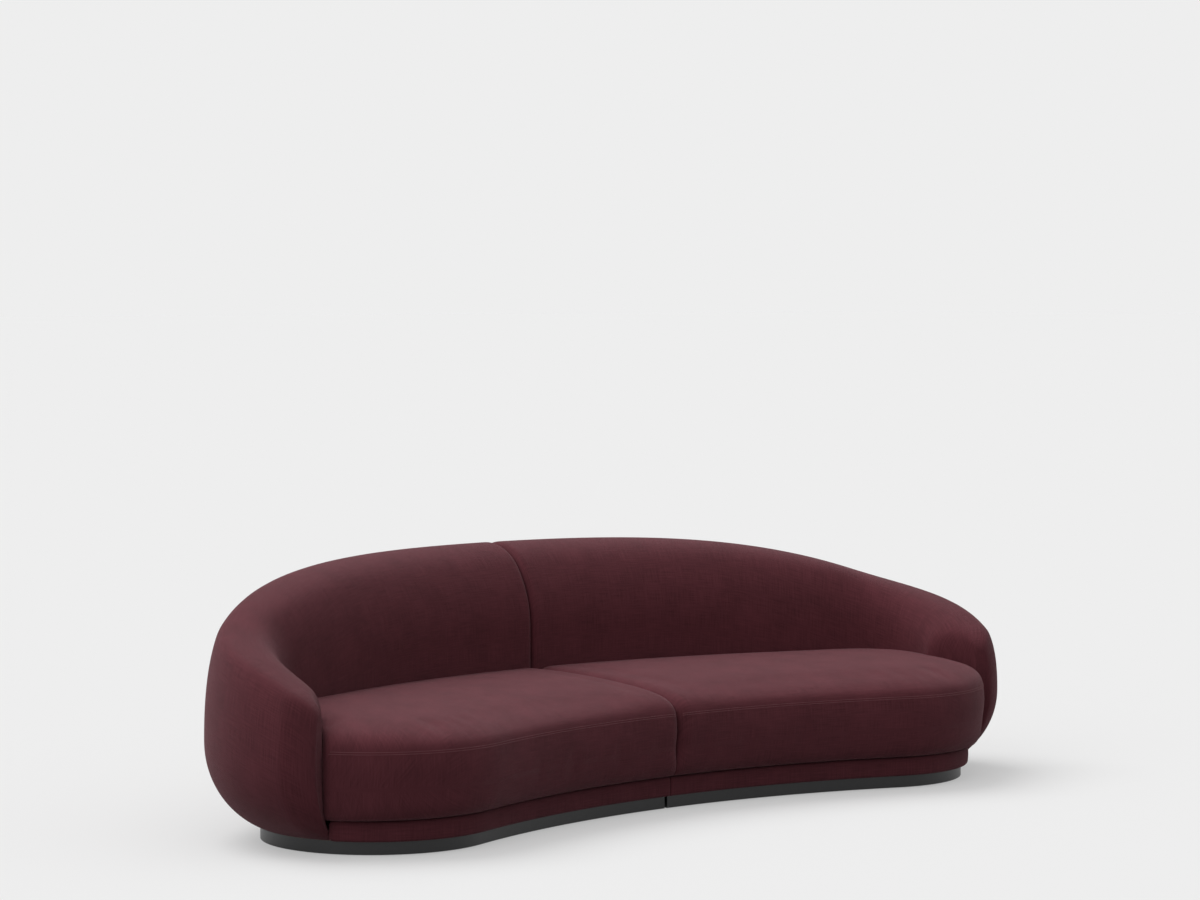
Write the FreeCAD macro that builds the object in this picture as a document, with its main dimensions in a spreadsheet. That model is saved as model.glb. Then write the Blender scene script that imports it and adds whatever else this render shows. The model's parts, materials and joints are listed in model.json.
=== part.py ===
"""Curved sofa of two upholstered modules on a low recessed plinth.

Millimetres, +Z up, the front of the sofa towards -Y and the seam between the modules in the plane X = 0.
Plan outlines are drawn with the centres of the two rounded ends on the line Y = 0, and every sub-part is
then moved along Y so that the origin lies on the floor under the middle of the sofa.
"""
import FreeCAD, Part
import Sketcher
import math
import os
import re

V = FreeCAD.Vector
UP = V(0, 0, 1)

# Driving sizes
SIZES = {
    # plan of the plinth and of the hollow that holds the seat
    "tip_x": 918.0,
    "tip_radius": 324.0,
    "front_radius": 2210.0,
    "back_radius": 1650.0,
    "crease_radius": 2448.0,
    "arm_inner_radius": 255.0,
    "arm_angle": 31.0,
    # heights
    "glide_height": 3.0,
    "plinth_top": 39.0,
    "panel_thickness": 15.0,
    "frame_height": 41.0,
    "rail_top": 97.0,
    "stitch_height": 283.0,
    "seat_height": 366.0,
    "crest_height": 730.0,
    "arm_end_height": 362.0,
    # gaps between the modules and round soft pieces
    "seam_gap": 1.0,
    "plinth_seam_gap": 10.0,
    "soft_clearance": 0.5,
    # plinth and base
    "plinth_wall": 12.0,
    "block_side": 50.0,
    "block_inset": 60.0,
    "seam_block_x": 55.0,
    "mid_block_x": 620.0,
    "glide_radius": 18.0,
    "screw_radius": 3.0,
    "screw_head_radius": 6.0,
    "screw_head_height": 4.0,
    "screw_bite": 12.0,
    "hole_clearance": 0.2,
    "panel_border": 110.0,
    "dust_overlap": 14.0,
    "dust_thickness": 0.8,
    # upholstered rail and seat frame
    "rail_reach": 22.0,
    "rail_round": 7.0,
    "frame_wall": 22.0,
    "rear_rail_wall": 30.0,
    "seam_rail_wall": 18.0,
    "strap_width": 50.0,
    "strap_thickness": 2.0,
    "strap_pitch": 165.0,
    "first_strap_x": 110.0,
    # seat
    "seat_bulge": 71.0,
    "seat_bulge_height": 240.0,
    "seat_draw_in": 38.0,
    "crown_radius": 810.0,
    "crown_reach": 346.0,
    "crown_flat": 290.0,
    "seam_draw_in": 5.0,
    "seat_wrap": 22.0,
    "seat_corner_round": 26.0,
    # back and arm
    "back_bulge": 105.0,
    "arm_bulge": 158.0,
    "back_bulge_height": 480.0,
    "arm_bulge_height": 245.0,
    "back_crest_offset": -43.0,
    "arm_crest_offset": 100.0,
    "back_inner_height": 482.0,
    "arm_inner_height": 300.0,
    "nose_length": 95.0,
    "nose_proud": 4.0,
    "back_foam": 30.0,
    "foam_edge_offset": 20.0,
    "rib_thickness": 18.0,
    "top_rail_width": 26.0,
    "top_rail_height": 26.0,
    "top_rail_depth": 16.0,
    "board_thickness": 5.0,
    "board_height": 230.0,
    "board_recess": 2.0,
    "cover_lip": 2.0,
    # connector between the modules
    "connector_offset": 180.0,
    "blade_width": 40.0,
    "blade_thickness": 4.0,
    "blade_top": 26.0,
    "blade_reach": 60.0,
    "blade_tail": 80.0,
    "pad_start": 18.0,
    "slide_clearance": 0.6,
    "clip_wall": 4.0,
    "clip_flange": 20.0,
    "slot_clearance": 3.0,
}

# Shapes of curves, and places along the back as shares of its length from the seam to the nose
CREST_FALL = 50.0
CREST_POWER = 3.9
NOSE_POWER = 2.2
NOSE_FALL = 0.1
RIB_PLACES = (0.25, 0.48, 0.68, 0.86)
STRAP_COUNT = 5
PLACE_COUNT = 10
BACK_PLACES = tuple(step / PLACE_COUNT for step in range(PLACE_COUNT))
CAVITY_END = 0.97
CORE_END = 0.95
WALL_SPARE = 2.0
NOSE_STEPS = (0.0, 0.45, 0.75, 0.92, 0.99)
SIDE_STEPS = (0.0, 0.2, 0.45, 0.7)
CROWN_STEPS = (0.0, 0.05, 0.12, 0.22, 0.36, 0.55, 0.76, 1.0)
FAR = 1500.0

# Formulas that several pieces share, in the names of the driving sizes
BACK_RISE = "(back_radius - sqrt((back_radius - tip_radius)^2 - tip_x^2))"
CREASE_RISE = "(crease_radius - sqrt((crease_radius - arm_inner_radius)^2 - tip_x^2))"
FRONT_RISE = "(sqrt((front_radius + tip_radius)^2 - tip_x^2))"
PLAN_SHIFT = f"(tip_radius + seat_bulge - {BACK_RISE} - back_bulge) / 2"
PANEL_TOP = "(plinth_top + panel_thickness)"
FRAME_TOP = "(plinth_top + panel_thickness + frame_height)"
HALF_GAP = "seam_gap / 2"

doc = FreeCAD.newDocument("curved_sofa")
sheet = doc.addObject("Spreadsheet::Sheet", "Sheet")
for row, (alias, value) in enumerate(SIZES.items(), start=1):
    sheet.set(f"A{row}", alias)
    sheet.set(f"B{row}", str(value))
    sheet.setAlias(f"B{row}", alias)
doc.recompute()

NAMES = re.compile(r"\b(" + "|".join(SIZES) + r")\b")
parts = []


def formula(text):
    """Turns plain names of sizes into references to the sheet."""
    return NAMES.sub(r"Sheet.\1", text)


def number(text):
    """The number that a formula gives now, in millimetres or degrees."""
    value = sheet.evalExpression(formula(text))
    return float(getattr(value, "Value", value))


def bind(obj, path, text):
    obj.setExpression(path, formula(text))


def keep(obj, label):
    """Names a finished sub-part and remembers it for export."""
    obj.Label = label
    parts.append(obj)
    return obj


def place(obj, x="0", y="0", z="0"):
    """Places an object by formulas given in the plan's frame."""
    bind(obj, "Placement.Base.x", x)
    bind(obj, "Placement.Base.y", f"{PLAN_SHIFT} + ({y})")
    bind(obj, "Placement.Base.z", z)
    return obj


def place_shape(obj, shape):
    """Gives an object a shape made in the plan's frame, then moves it to the sofa's frame."""
    obj.Shape = shape
    obj.Placement = FreeCAD.Placement(V(0, number(PLAN_SHIFT), 0), FreeCAD.Rotation())
    return obj


def in_plan(obj):
    """The shape of a placed object, moved back to the plan's frame."""
    shape = obj.Shape.copy()
    shape.translate(V(0, -number(PLAN_SHIFT), 0))
    return shape


# Plan outlines

def constrain(sketch, kind, *arguments, text=None):
    index = sketch.addConstraint(Sketcher.Constraint(kind, *arguments))
    if text is not None:
        bind(sketch, f"Constraints[{index}]", text)


def plan_numbers(tip, front, back, seam):
    """Centres and turning angles of a module's plan: front arc, end arc and back arc that touch."""
    tip_x = number("tip_x")
    front_y = -math.sqrt((front + tip) ** 2 - tip_x ** 2)
    back_y = -math.sqrt((back - tip) ** 2 - tip_x ** 2)
    return {
        "tip_x": tip_x,
        "front_y": front_y,
        "back_y": back_y,
        "front_turn": math.atan2(-front_y, tip_x),
        "back_turn": math.atan2(-back_y, tip_x),
        "front_seam": math.acos(seam / front),
        "back_seam": math.acos(seam / back),
    }


def add_loop(sketch, loop):
    """Draws a module's plan in a sketch, tied to the sheet by the four formulas of the loop."""
    tip, front, back, seam = (number(text) for text in loop)
    tip_text, front_text, back_text, seam_text = loop
    plan = plan_numbers(tip, front, back, seam)
    front_circle = Part.Circle(V(0, plan["front_y"], 0), UP, front)
    tip_circle = Part.Circle(V(plan["tip_x"], 0, 0), UP, tip)
    back_circle = Part.Circle(V(0, plan["back_y"], 0), UP, back)
    touch = plan["front_turn"]
    low = front_circle.value(plan["front_seam"])
    high = back_circle.value(plan["back_seam"])
    front_arc = sketch.addGeometry(Part.ArcOfCircle(front_circle, touch, plan["front_seam"]), False)
    end = plan["back_turn"] + 2 * math.pi
    tip_arc = sketch.addGeometry(Part.ArcOfCircle(tip_circle, touch + math.pi, end), False)
    back_arc = sketch.addGeometry(Part.ArcOfCircle(back_circle, plan["back_turn"], plan["back_seam"]), False)
    seam_line = sketch.addGeometry(Part.LineSegment(low, high), False)
    constrain(sketch, "PointOnObject", front_arc, 3, -2)
    constrain(sketch, "PointOnObject", tip_arc, 3, -1)
    constrain(sketch, "PointOnObject", back_arc, 3, -2)
    constrain(sketch, "Coincident", front_arc, 2, seam_line, 1)
    constrain(sketch, "Coincident", back_arc, 2, seam_line, 2)
    constrain(sketch, "Vertical", seam_line)
    constrain(sketch, "Tangent", front_arc, 1, tip_arc, 1)
    constrain(sketch, "Tangent", tip_arc, 2, back_arc, 1)
    constrain(sketch, "DistanceX", -1, 1, tip_arc, 3, plan["tip_x"], text="tip_x")
    constrain(sketch, "DistanceX", -1, 1, seam_line, 1, seam, text=seam_text)
    constrain(sketch, "Radius", front_arc, front, text=front_text)
    constrain(sketch, "Radius", tip_arc, tip, text=tip_text)
    constrain(sketch, "Radius", back_arc, back, text=back_text)


def outer_loop(offset, seam):
    """The plinth's plan grown outwards by offset, closed at the seam."""
    return (f"tip_radius + ({offset})", f"front_radius - ({offset})", f"back_radius + ({offset})", seam)


def crease_loop(offset, seam):
    """The plan of the hollow that the back and arm leave for the seat, grown outwards by offset."""
    front = f"front_radius + tip_radius - arm_inner_radius - ({offset})"
    return (f"arm_inner_radius + ({offset})", front, f"crease_radius + ({offset})", seam)


def plate(name, bottom, top, *loops):
    """A flat piece between two heights, bounded by one plan loop, or by two for a ring."""
    body = doc.addObject("PartDesign::Body", "Body_" + name)
    sketch = body.newObject("Sketcher::SketchObject", "Plan_" + name)
    plane = [feature for feature in body.Origin.OriginFeatures if feature.Role == "XY_Plane"][0]
    sketch.AttachmentSupport = [(plane, "")]
    sketch.MapMode = "FlatFace"
    for loop in loops:
        add_loop(sketch, loop)
    pad = body.newObject("PartDesign::Pad", "Pad_" + name)
    pad.Profile = sketch
    bind(pad, "Length", f"({top}) - ({bottom})")
    return place(body, z=bottom)


def box(name, length, width, height, x, y, z):
    obj = doc.addObject("Part::Box", name)
    bind(obj, "Length", length)
    bind(obj, "Width", width)
    bind(obj, "Height", height)
    return place(obj, x, y, z)


def cylinder(name, radius, height, x, y, z):
    obj = doc.addObject("Part::Cylinder", name)
    bind(obj, "Radius", radius)
    bind(obj, "Height", height)
    return place(obj, x, y, z)


def fuse(name, pieces):
    obj = doc.addObject("Part::MultiFuse", name)
    obj.Shapes = pieces
    return obj


def group(name, pieces):
    obj = doc.addObject("Part::Compound", name)
    obj.Links = pieces
    return obj


def cut(name, base, tool):
    obj = doc.addObject("Part::Cut", name)
    obj.Base = base
    obj.Tool = tool
    return obj


def common(name, base, tool):
    obj = doc.addObject("Part::Common", name)
    obj.Base = base
    obj.Tool = tool
    return obj


def mirrored(name, source):
    obj = doc.addObject("Part::Mirroring", name)
    obj.Source = source
    obj.Base = V(0, 0, 0)
    obj.Normal = V(1, 0, 0)
    return obj


def front_zone(name, angle, clearance):
    """The room in front of the ends' centres that lies before the line at an angle round the end."""
    before = doc.addObject("Part::Box", name + "Before")
    bind(before, "Length", str(2 * FAR))
    bind(before, "Width", str(FAR))
    bind(before, "Height", str(2 * FAR))
    before.Placement = FreeCAD.Placement(V(0, 0, 0), FreeCAD.Rotation(UP, -number(angle)))
    bind(before, "Placement.Rotation.Angle", f"0 - ({angle})")
    turn = f"(({angle}) * 1deg)"
    reach = f"({FAR} + ({clearance}))"
    place(
        before,
        f"tip_x - {FAR} * cos({turn}) - {reach} * sin({turn})",
        f"{FAR} * sin({turn}) - {reach} * cos({turn})",
        f"0 - {FAR}",
    )
    corner = f"0 - {FAR}"
    front = box(name + "Front", str(2 * FAR), str(FAR), str(2 * FAR), corner, corner, corner)
    return common(name, before, front)


# Curves of the plan at a distance x from the seam, as formulas

def front_y_at(x, offset="0"):
    return f"(0 - {FRONT_RISE} + sqrt((front_radius - ({offset}))^2 - ({x})^2))"


def back_y_at(x, offset="0"):
    return f"({BACK_RISE} - back_radius + sqrt((back_radius + ({offset}))^2 - ({x})^2))"


def crease_y_at(x, offset="0"):
    return f"({CREASE_RISE} - crease_radius + sqrt((crease_radius + ({offset}))^2 - ({x})^2))"


# Cross-sections of the back and arm

def two_arcs(side, top):
    """Middle and meeting points of two arcs that touch and turn from upright at side to level at top."""
    reach = abs(top[0] - side[0])
    rise = top[1] - side[1]
    sign = 1.0 if side[0] > top[0] else -1.0
    turn = math.atan2(reach, rise)
    size = math.hypot(reach, rise) / (math.sin(turn) + math.cos(turn) - 1)
    large = size * (1 - math.sin(turn))
    small = size * (1 - math.cos(turn))
    half = turn / 2
    first = (side[0] - sign * large * (1 - math.cos(half)), side[1] + large * math.sin(half))
    meet = (side[0] - sign * large * (1 - math.cos(turn)), side[1] + large * math.sin(turn))
    late = (turn + math.pi / 2) / 2
    second = (top[0] + sign * small * math.cos(late), top[1] - small + small * math.sin(late))
    return first, meet, second


def mix(start, end, share):
    return start + (end - start) * share


class BackPath:
    """Runs along the plinth's plan from the seam round to the nose of the arm."""

    def __init__(self):
        self.tip = number("tip_radius")
        self.back = number("back_radius")
        plan = plan_numbers(self.tip, number("front_radius"), self.back, 0.0)
        self.centre_y = plan["back_y"]
        self.turn = plan["back_turn"]
        self.tip_x = plan["tip_x"]
        self.straight = self.back * (math.pi / 2 - self.turn)
        self.length = self.straight + self.tip * (self.turn + math.radians(number("arm_angle")))

    def at(self, distance):
        """Point on the plinth's plan and outward direction at a distance from the seam."""
        if distance < self.straight:
            angle = math.pi / 2 - distance / self.back
            centre = V(0, self.centre_y, 0)
            radius = self.back
        else:
            angle = self.turn - (distance - self.straight) / self.tip
            centre = V(self.tip_x, 0, 0)
            radius = self.tip
        out = V(math.cos(angle), math.sin(angle), 0)
        return centre + out * radius, out

    def inner_offset(self, point, out):
        """Offset of the hollow's wall from the plinth's plan, measured along the outward direction."""
        radius = number("arm_inner_radius")
        crease = number("crease_radius")
        centre_y = -math.sqrt((crease - radius) ** 2 - self.tip_x ** 2)
        turn = math.atan2(-centre_y, self.tip_x)
        best = self.wall_hit(point, out, V(self.tip_x, 0, 0), radius)
        if math.atan2((point + out * best).y, (point + out * best).x - self.tip_x) > turn:
            best = self.wall_hit(point, out, V(0, centre_y, 0), crease)
        return best

    @staticmethod
    def wall_hit(point, out, centre, radius):
        offset = point - centre
        along = offset.dot(out)
        return -along + math.sqrt(max(along ** 2 - offset.dot(offset) + radius ** 2, 0.0))


path = BackPath()


def profile_at(distance):
    """The sizes of the back's cross-section at a distance from the seam."""
    share = distance / path.length
    ease = share * share * (3 - 2 * share)
    point, out = path.at(distance)
    nose = number("nose_length")
    into_nose = min(max((distance - path.length + nose) / nose, 0.0), 1.0)
    shrink = 1 - (1 - into_nose ** NOSE_POWER) ** (1 / NOSE_POWER)
    inner = path.inner_offset(point, out)
    end_share = (number("seat_bulge + nose_proud") - inner) / (number("arm_bulge") - inner)
    crest = number("crest_height")
    fall = crest - CREST_FALL - number("arm_end_height")
    top = crest - CREST_FALL * share ** 2 - fall * share ** CREST_POWER
    inner_height = mix(number("back_inner_height"), number("arm_inner_height"), share ** 2)
    return {
        "point": point,
        "out": out,
        "bulge": mix(number("back_bulge"), number("arm_bulge"), ease),
        "bulge_height": mix(number("back_bulge_height"), number("arm_bulge_height"), ease),
        "crest": mix(number("back_crest_offset"), number("arm_crest_offset"), ease),
        "top": top,
        "inner": inner,
        "inner_height": inner_height,
        "narrow": mix(1, end_share, shrink),
        "lower": 1 - NOSE_FALL * shrink,
    }


def section_edges(distance, inset, base, shift_x=0.0):
    """The closed cross-section wire at a distance from the seam, drawn in by inset."""
    p = profile_at(distance)
    side = (p["bulge"] - inset, p["bulge_height"])
    top = (p["crest"], p["top"] - inset)
    inner = (p["inner"] + (inset or -WALL_SPARE), p["inner_height"])
    low_z = number("plinth_top + soft_clearance")
    lip = number("soft_clearance + cover_lip")
    rise = p["bulge_height"] - low_z
    round_low = ((p["bulge"] - lip) ** 2 + rise ** 2) / (2 * (p["bulge"] - lip))
    low_centre = p["bulge"] - round_low
    if inset:
        low = -number("foam_edge_offset")
        arm = round_low - inset
        low_point = (low, p["bulge_height"] - math.sqrt(arm ** 2 - (low - low_centre) ** 2))
    else:
        arm = round_low
        low_point = (lip, low_z)
    start = math.atan2(low_point[1] - p["bulge_height"], low_point[0] - low_centre)
    low_mid = (low_centre + arm * math.cos(start / 2), p["bulge_height"] + arm * math.sin(start / 2))
    out_a, out_b, out_c = two_arcs(side, top)
    in_a, in_b, in_c = two_arcs(inner, top)
    chain = [
        ("arc", low_point, low_mid, side),
        ("arc", side, out_a, out_b),
        ("arc", out_b, out_c, top),
        ("arc", top, in_c, in_b),
        ("arc", in_b, in_a, inner),
        ("line", inner, (inner[0], base)),
        ("line", (inner[0], base), (low_point[0], base)),
    ]
    if inset:
        chain.append(("line", (low_point[0], base), low_point))

    def spot(q):
        across = p["inner"] + (q[0] - p["inner"]) * p["narrow"]
        height = low_z + (q[1] - low_z) * p["lower"]
        return p["point"] + p["out"] * across + UP * height + V(shift_x, 0, 0)

    edges = []
    for kind, *points in chain:
        places = [spot(q) for q in points]
        if kind == "arc":
            edges.append(Part.Arc(*places).toShape())
        else:
            edges.append(Part.LineSegment(*places).toShape())
    return Part.Wire(edges)


def back_loft(inset, base, places, nose_steps):
    """A solid through the cross-sections, from the seam along the back and round into the arm."""
    gap = number(HALF_GAP) + inset
    start = path.length - number("nose_length")
    runs = [(share * start, gap if share == 0 else 0.0) for share in places]
    runs += [(start + step * number("nose_length"), 0.0) for step in nose_steps]
    wires = [section_edges(distance, inset, base, shift) for distance, shift in runs]
    return Part.makeLoft(wires, True, False)


# Seat block

def plan_wire(tip, front, back, seam, height):
    """A module's plan as a wire at one height."""
    plan = plan_numbers(tip, front, back, seam)
    front_circle = Part.Circle(V(0, plan["front_y"], height), UP, front)
    tip_circle = Part.Circle(V(plan["tip_x"], 0, height), UP, tip)
    back_circle = Part.Circle(V(0, plan["back_y"], height), UP, back)
    touch = plan["front_turn"]
    low = front_circle.value(plan["front_seam"])
    high = back_circle.value(plan["back_seam"])
    edges = [
        Part.ArcOfCircle(front_circle, touch, plan["front_seam"]).toShape(),
        Part.ArcOfCircle(tip_circle, touch - math.pi, plan["back_turn"]).toShape(),
        Part.ArcOfCircle(back_circle, plan["back_turn"], plan["back_seam"]).toShape(),
        Part.LineSegment(low, high).toShape(),
    ]
    return Part.Wire(Part.__sortEdges__(edges))


def seat_levels():
    """Heights of the seat's plan outlines with how far each is drawn in from the widest."""
    base = number("rail_top") + number("soft_clearance")
    widest = number("seat_bulge_height")
    stitch = number("stitch_height")
    top = number("seat_height")
    reach = number("crown_reach")
    radius = number("crown_radius")
    levels = []
    for step in SIDE_STEPS:
        height = mix(base, widest, step)
        levels.append((height, number("seat_draw_in") * (1 - math.sin(step * math.pi / 2)) ** 1.5))
    levels.append((widest, 0.0))
    edge = reach - math.sqrt(radius ** 2 - (radius - (top - stitch)) ** 2)
    edge = max(edge, 2.0)
    for step in CROWN_STEPS:
        inset = mix(edge, number("crown_flat"), step)
        height = top - radius + math.sqrt(radius ** 2 - (reach - inset) ** 2)
        levels.append((height, inset))
    return levels


def seat_block(inset):
    """The crowned seat, drawn in by inset on every side, cut to the hollow of the back and arm."""
    tip = number("tip_radius")
    front = number("front_radius")
    rise = number(CREASE_RISE) + number("tip_radius") / 2
    levels = seat_levels()
    bottom = levels[0][0]
    top = levels[-1][0]
    wires = []
    for height, drawn in levels:
        reach = number("seat_bulge") - drawn - inset
        end = tip + reach
        back = (number("tip_x") ** 2 + rise ** 2 - end ** 2) / (2 * (rise - end))
        edge = number("seam_draw_in") if height in (bottom, top) else 0.0
        seam = number(HALF_GAP) + inset + edge
        lifted = height + inset * (1 - 2 * (height - bottom) / (top - bottom))
        wires.append(plan_wire(end, front - reach, back, seam, lifted))
    crowned = Part.makeLoft(wires, True, True)
    clear = number("soft_clearance") + inset
    radius = number("arm_inner_radius") - clear
    crease = number("crease_radius") - clear
    plan = plan_numbers(radius, number("front_radius"), crease, number(HALF_GAP))
    tip_centre = V(plan["tip_x"], 0, 0)
    angle = -math.radians(number("arm_angle"))
    out = V(math.cos(angle), math.sin(angle), 0)
    across = V(math.sin(angle), -math.cos(angle), 0)
    stop = angle - math.asin(clear / radius)
    corner = number("seat_corner_round") - inset
    outside = tip + number("seat_bulge") - inset
    middle = across * (clear + corner)
    middle = tip_centre + middle + out * math.sqrt((outside - corner) ** 2 - (clear + corner) ** 2)
    away = (middle - tip_centre).normalize()
    between = (away - across).normalize()
    tip_circle = Part.Circle(tip_centre, UP, radius)
    crease_circle = Part.Circle(V(0, plan["back_y"], 0), UP, crease)
    gap = number(HALF_GAP) + inset
    seam_point = crease_circle.value(math.acos(gap / crease))
    far = tip_centre + away * FAR
    line_end = middle - across * corner
    corner_end = middle + away * corner
    edges = [
        Part.ArcOfCircle(crease_circle, plan["back_turn"], math.acos(gap / crease)).toShape(),
        Part.ArcOfCircle(tip_circle, stop, plan["back_turn"]).toShape(),
        Part.LineSegment(tip_circle.value(stop), line_end).toShape(),
        Part.Arc(line_end, middle + between * corner, corner_end).toShape(),
        Part.LineSegment(corner_end, far).toShape(),
        Part.LineSegment(far, V(far.x, -FAR, 0)).toShape(),
        Part.LineSegment(V(far.x, -FAR, 0), V(gap, -FAR, 0)).toShape(),
        Part.LineSegment(V(gap, -FAR, 0), seam_point).toShape(),
    ]
    hollow = Part.Face(Part.Wire(Part.__sortEdges__(edges))).extrude(UP * FAR)
    block = crowned.common(hollow)
    return max(block.Solids, key=lambda solid: solid.Volume)


# Right module, from the floor up

BLOCKS = [
    ("seam_block_x", front_y_at("seam_block_x", "0 - block_inset")),
    ("seam_block_x", back_y_at("seam_block_x", "0 - block_inset")),
    ("tip_x + tip_radius - block_inset", "0"),
    ("mid_block_x", back_y_at("mid_block_x", "0 - block_inset")),
    ("mid_block_x", front_y_at("mid_block_x", "0 - block_inset")),
]
BLADE_BOTTOM = "(blade_top - blade_thickness)"
BEYOND_SEAM = f"0 - {FAR / 10}"

right = {}
left = {}


def band(name, bottom, top, outer, inner, zone, keep_zone):
    """The strip between two plan loops, kept inside or outside a zone."""
    outside = plate(name + "Outer", bottom, top, outer)
    inside = plate(name + "Inner", bottom, top, inner)
    strip = cut(name + "Strip", outside, inside)
    return common(name, strip, zone) if keep_zone else cut(name, strip, zone)


def screw(name, x, y, bottom, top):
    """A screw that stands on its head."""
    shank = cylinder(name + "Shank", "screw_radius", f"({top}) - ({bottom})", x, y, bottom)
    head = cylinder(name + "Head", "screw_head_radius", "screw_head_height", x, y, bottom)
    return fuse(name, [shank, head])


def screw_hole(name, x, y, bottom, top):
    return cylinder(name, "screw_radius + hole_clearance", f"({top}) - ({bottom})", x, y, bottom)


slot = box(
    "SlotTool",
    "2 * blade_reach",
    "blade_width + 2 * slot_clearance",
    "blade_thickness + 2 * slot_clearance",
    "0 - blade_reach",
    "connector_offset - blade_width / 2 - slot_clearance",
    f"{BLADE_BOTTOM} - slot_clearance",
)
skirt = plate(
    "Skirt", "glide_height", "plinth_top",
    outer_loop("0", "plinth_seam_gap / 2"),
    outer_loop("0 - plinth_wall", "plinth_seam_gap / 2 + plinth_wall"),
)
right["plinth_ring"] = cut("PlinthRing", skirt, slot)

HEAD_BOTTOM = "(glide_height + hole_clearance)"
SCREW_TOP = "(plinth_top + screw_bite)"
screws = []
glides = []
panel_holes = []
for index, (x, y) in enumerate(BLOCKS, start=1):
    corner_x = f"{x} - block_side / 2"
    corner_y = f"{y} - block_side / 2"
    tall = "plinth_top - glide_height"
    post = box(f"Post{index}", "block_side", "block_side", tall, corner_x, corner_y, "glide_height")
    hole = screw_hole(f"PostHole{index}", x, y, "0", SCREW_TOP)
    wide = "screw_head_radius + hole_clearance"
    deep = "screw_head_height + 2 * hole_clearance"
    sink = cylinder(f"PostSink{index}", wide, deep, x, y, "glide_height")
    right[f"plinth_block_{index}"] = cut(f"Block{index}", post, fuse(f"PostCut{index}", [hole, sink]))
    screws.append(screw(f"BlockScrew{index}", x, y, HEAD_BOTTOM, f"{SCREW_TOP} - hole_clearance"))
    glides.append(cylinder(f"Glide{index}", "glide_radius", "glide_height", x, y, "0"))
    panel_holes.append(hole)
right["glides"] = group("Glides", glides)

panel = plate(
    "Panel", "plinth_top", PANEL_TOP,
    outer_loop("0", HALF_GAP),
    outer_loop("0 - panel_border", "panel_border"),
)
right["dust_cover"] = plate(
    "Dust", "plinth_top - dust_thickness", "plinth_top",
    outer_loop("dust_overlap - panel_border", "panel_border - dust_overlap"),
)

arm_start = front_zone("ArmStart", "arm_angle", "soft_clearance")
arm_end = front_zone("ArmEnd", "arm_angle", "0")
right["front_rail"] = band(
    "FrontRail", PANEL_TOP, FRAME_TOP, outer_loop("0", HALF_GAP), outer_loop("0 - frame_wall", BEYOND_SEAM),
    arm_start, True,
)
right["rear_rail"] = band(
    "RearRail", PANEL_TOP, FRAME_TOP, crease_loop("0 - soft_clearance", HALF_GAP),
    crease_loop("0 - rear_rail_wall", BEYOND_SEAM), arm_end, False,
)
seam_start = front_y_at("0", "0 - frame_wall")
seam_end = crease_y_at(f"{HALF_GAP} + seam_rail_wall", "0 - rear_rail_wall")
right["seam_rail"] = box(
    "SeamRail", "seam_rail_wall", f"{seam_end} - {seam_start}", "frame_height",
    HALF_GAP, seam_start, PANEL_TOP,
)
for index in range(STRAP_COUNT):
    x = f"(first_strap_x + {index} * strap_pitch)"
    start = front_y_at(x, "0 - frame_wall / 2")
    end = crease_y_at(x, "0 - rear_rail_wall / 2")
    right[f"seat_strap_{index + 1}"] = box(
        f"Strap{index + 1}", "strap_width", f"{end} - {start}", "strap_thickness",
        f"{x} - strap_width / 2", start, FRAME_TOP,
    )

# the upholstered rail is rounded along its outer edges before it is cut to length
rail_body = plate("RailOuter", "plinth_top", "rail_top", outer_loop("rail_reach", HALF_GAP))
doc.recompute()
rail_edges = []
for index, edge in enumerate(rail_body.Shape.Edges, start=1):
    if isinstance(edge.Curve, Part.Circle):
        rail_edges.append((index, number("rail_round"), number("rail_round")))
rail_round = doc.addObject("Part::Fillet", "RailRound")
rail_round.Base = rail_body
rail_round.Edges = rail_edges
rail_inner = plate("RailInner", "plinth_top", "rail_top", outer_loop("soft_clearance", BEYOND_SEAM))
right["base_rail"] = common("BaseRail", cut("RailStrip", rail_round, rail_inner), arm_start)

# Back and arm, on the base panel
WALL_END = "(arm_angle - (nose_length + 2 * back_foam) / tip_radius * 180 / pi)"
board_end = front_zone("BoardEnd", WALL_END, "0")
BOARD_INSIDE = "back_foam - board_recess"
BOARD_OUTSIDE = "back_foam - board_recess + board_thickness"
right["back_board"] = band(
    "BackBoard", PANEL_TOP, f"{PANEL_TOP} + board_height",
    crease_loop(BOARD_OUTSIDE, f"{HALF_GAP} + back_foam + hole_clearance"),
    crease_loop(BOARD_INSIDE, BEYOND_SEAM), board_end, False,
)
# room that the foam shell leaves free: the seat's hollow, the base panel's edge and the board
BOARD_ROOM_TOP = f"{PANEL_TOP} + board_height + hole_clearance"
rooms = [
    plate("HollowRoom", PANEL_TOP, str(FAR), crease_loop("0", BEYOND_SEAM)),
    plate("PanelRoom", "0", f"{PANEL_TOP} + soft_clearance", outer_loop("soft_clearance", BEYOND_SEAM)),
    band(
        "BoardRoom", PANEL_TOP, BOARD_ROOM_TOP,
        crease_loop(f"{BOARD_OUTSIDE} + hole_clearance", f"{HALF_GAP} + back_foam"),
        crease_loop(f"{BOARD_INSIDE} - hole_clearance", BEYOND_SEAM), board_end, False,
    ),
]
doc.recompute()

foam = number("back_foam")
base = number(PANEL_TOP)
clear = number("soft_clearance")
cavity = back_loft(foam, base - foam, BACK_PLACES + (CAVITY_END,), ())
core = back_loft(foam + clear, base, BACK_PLACES + (CORE_END,), ())
skin = back_loft(0.0, number("plinth_top") + clear, BACK_PLACES, NOSE_STEPS)
shell = skin.cut(cavity)
for room in rooms:
    shell = shell.cut(in_plan(room))
shell = max(shell.Solids, key=lambda solid: solid.Volume)
right["back_cover"] = place_shape(doc.addObject("Part::Feature", "BackCover"), shell)


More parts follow.
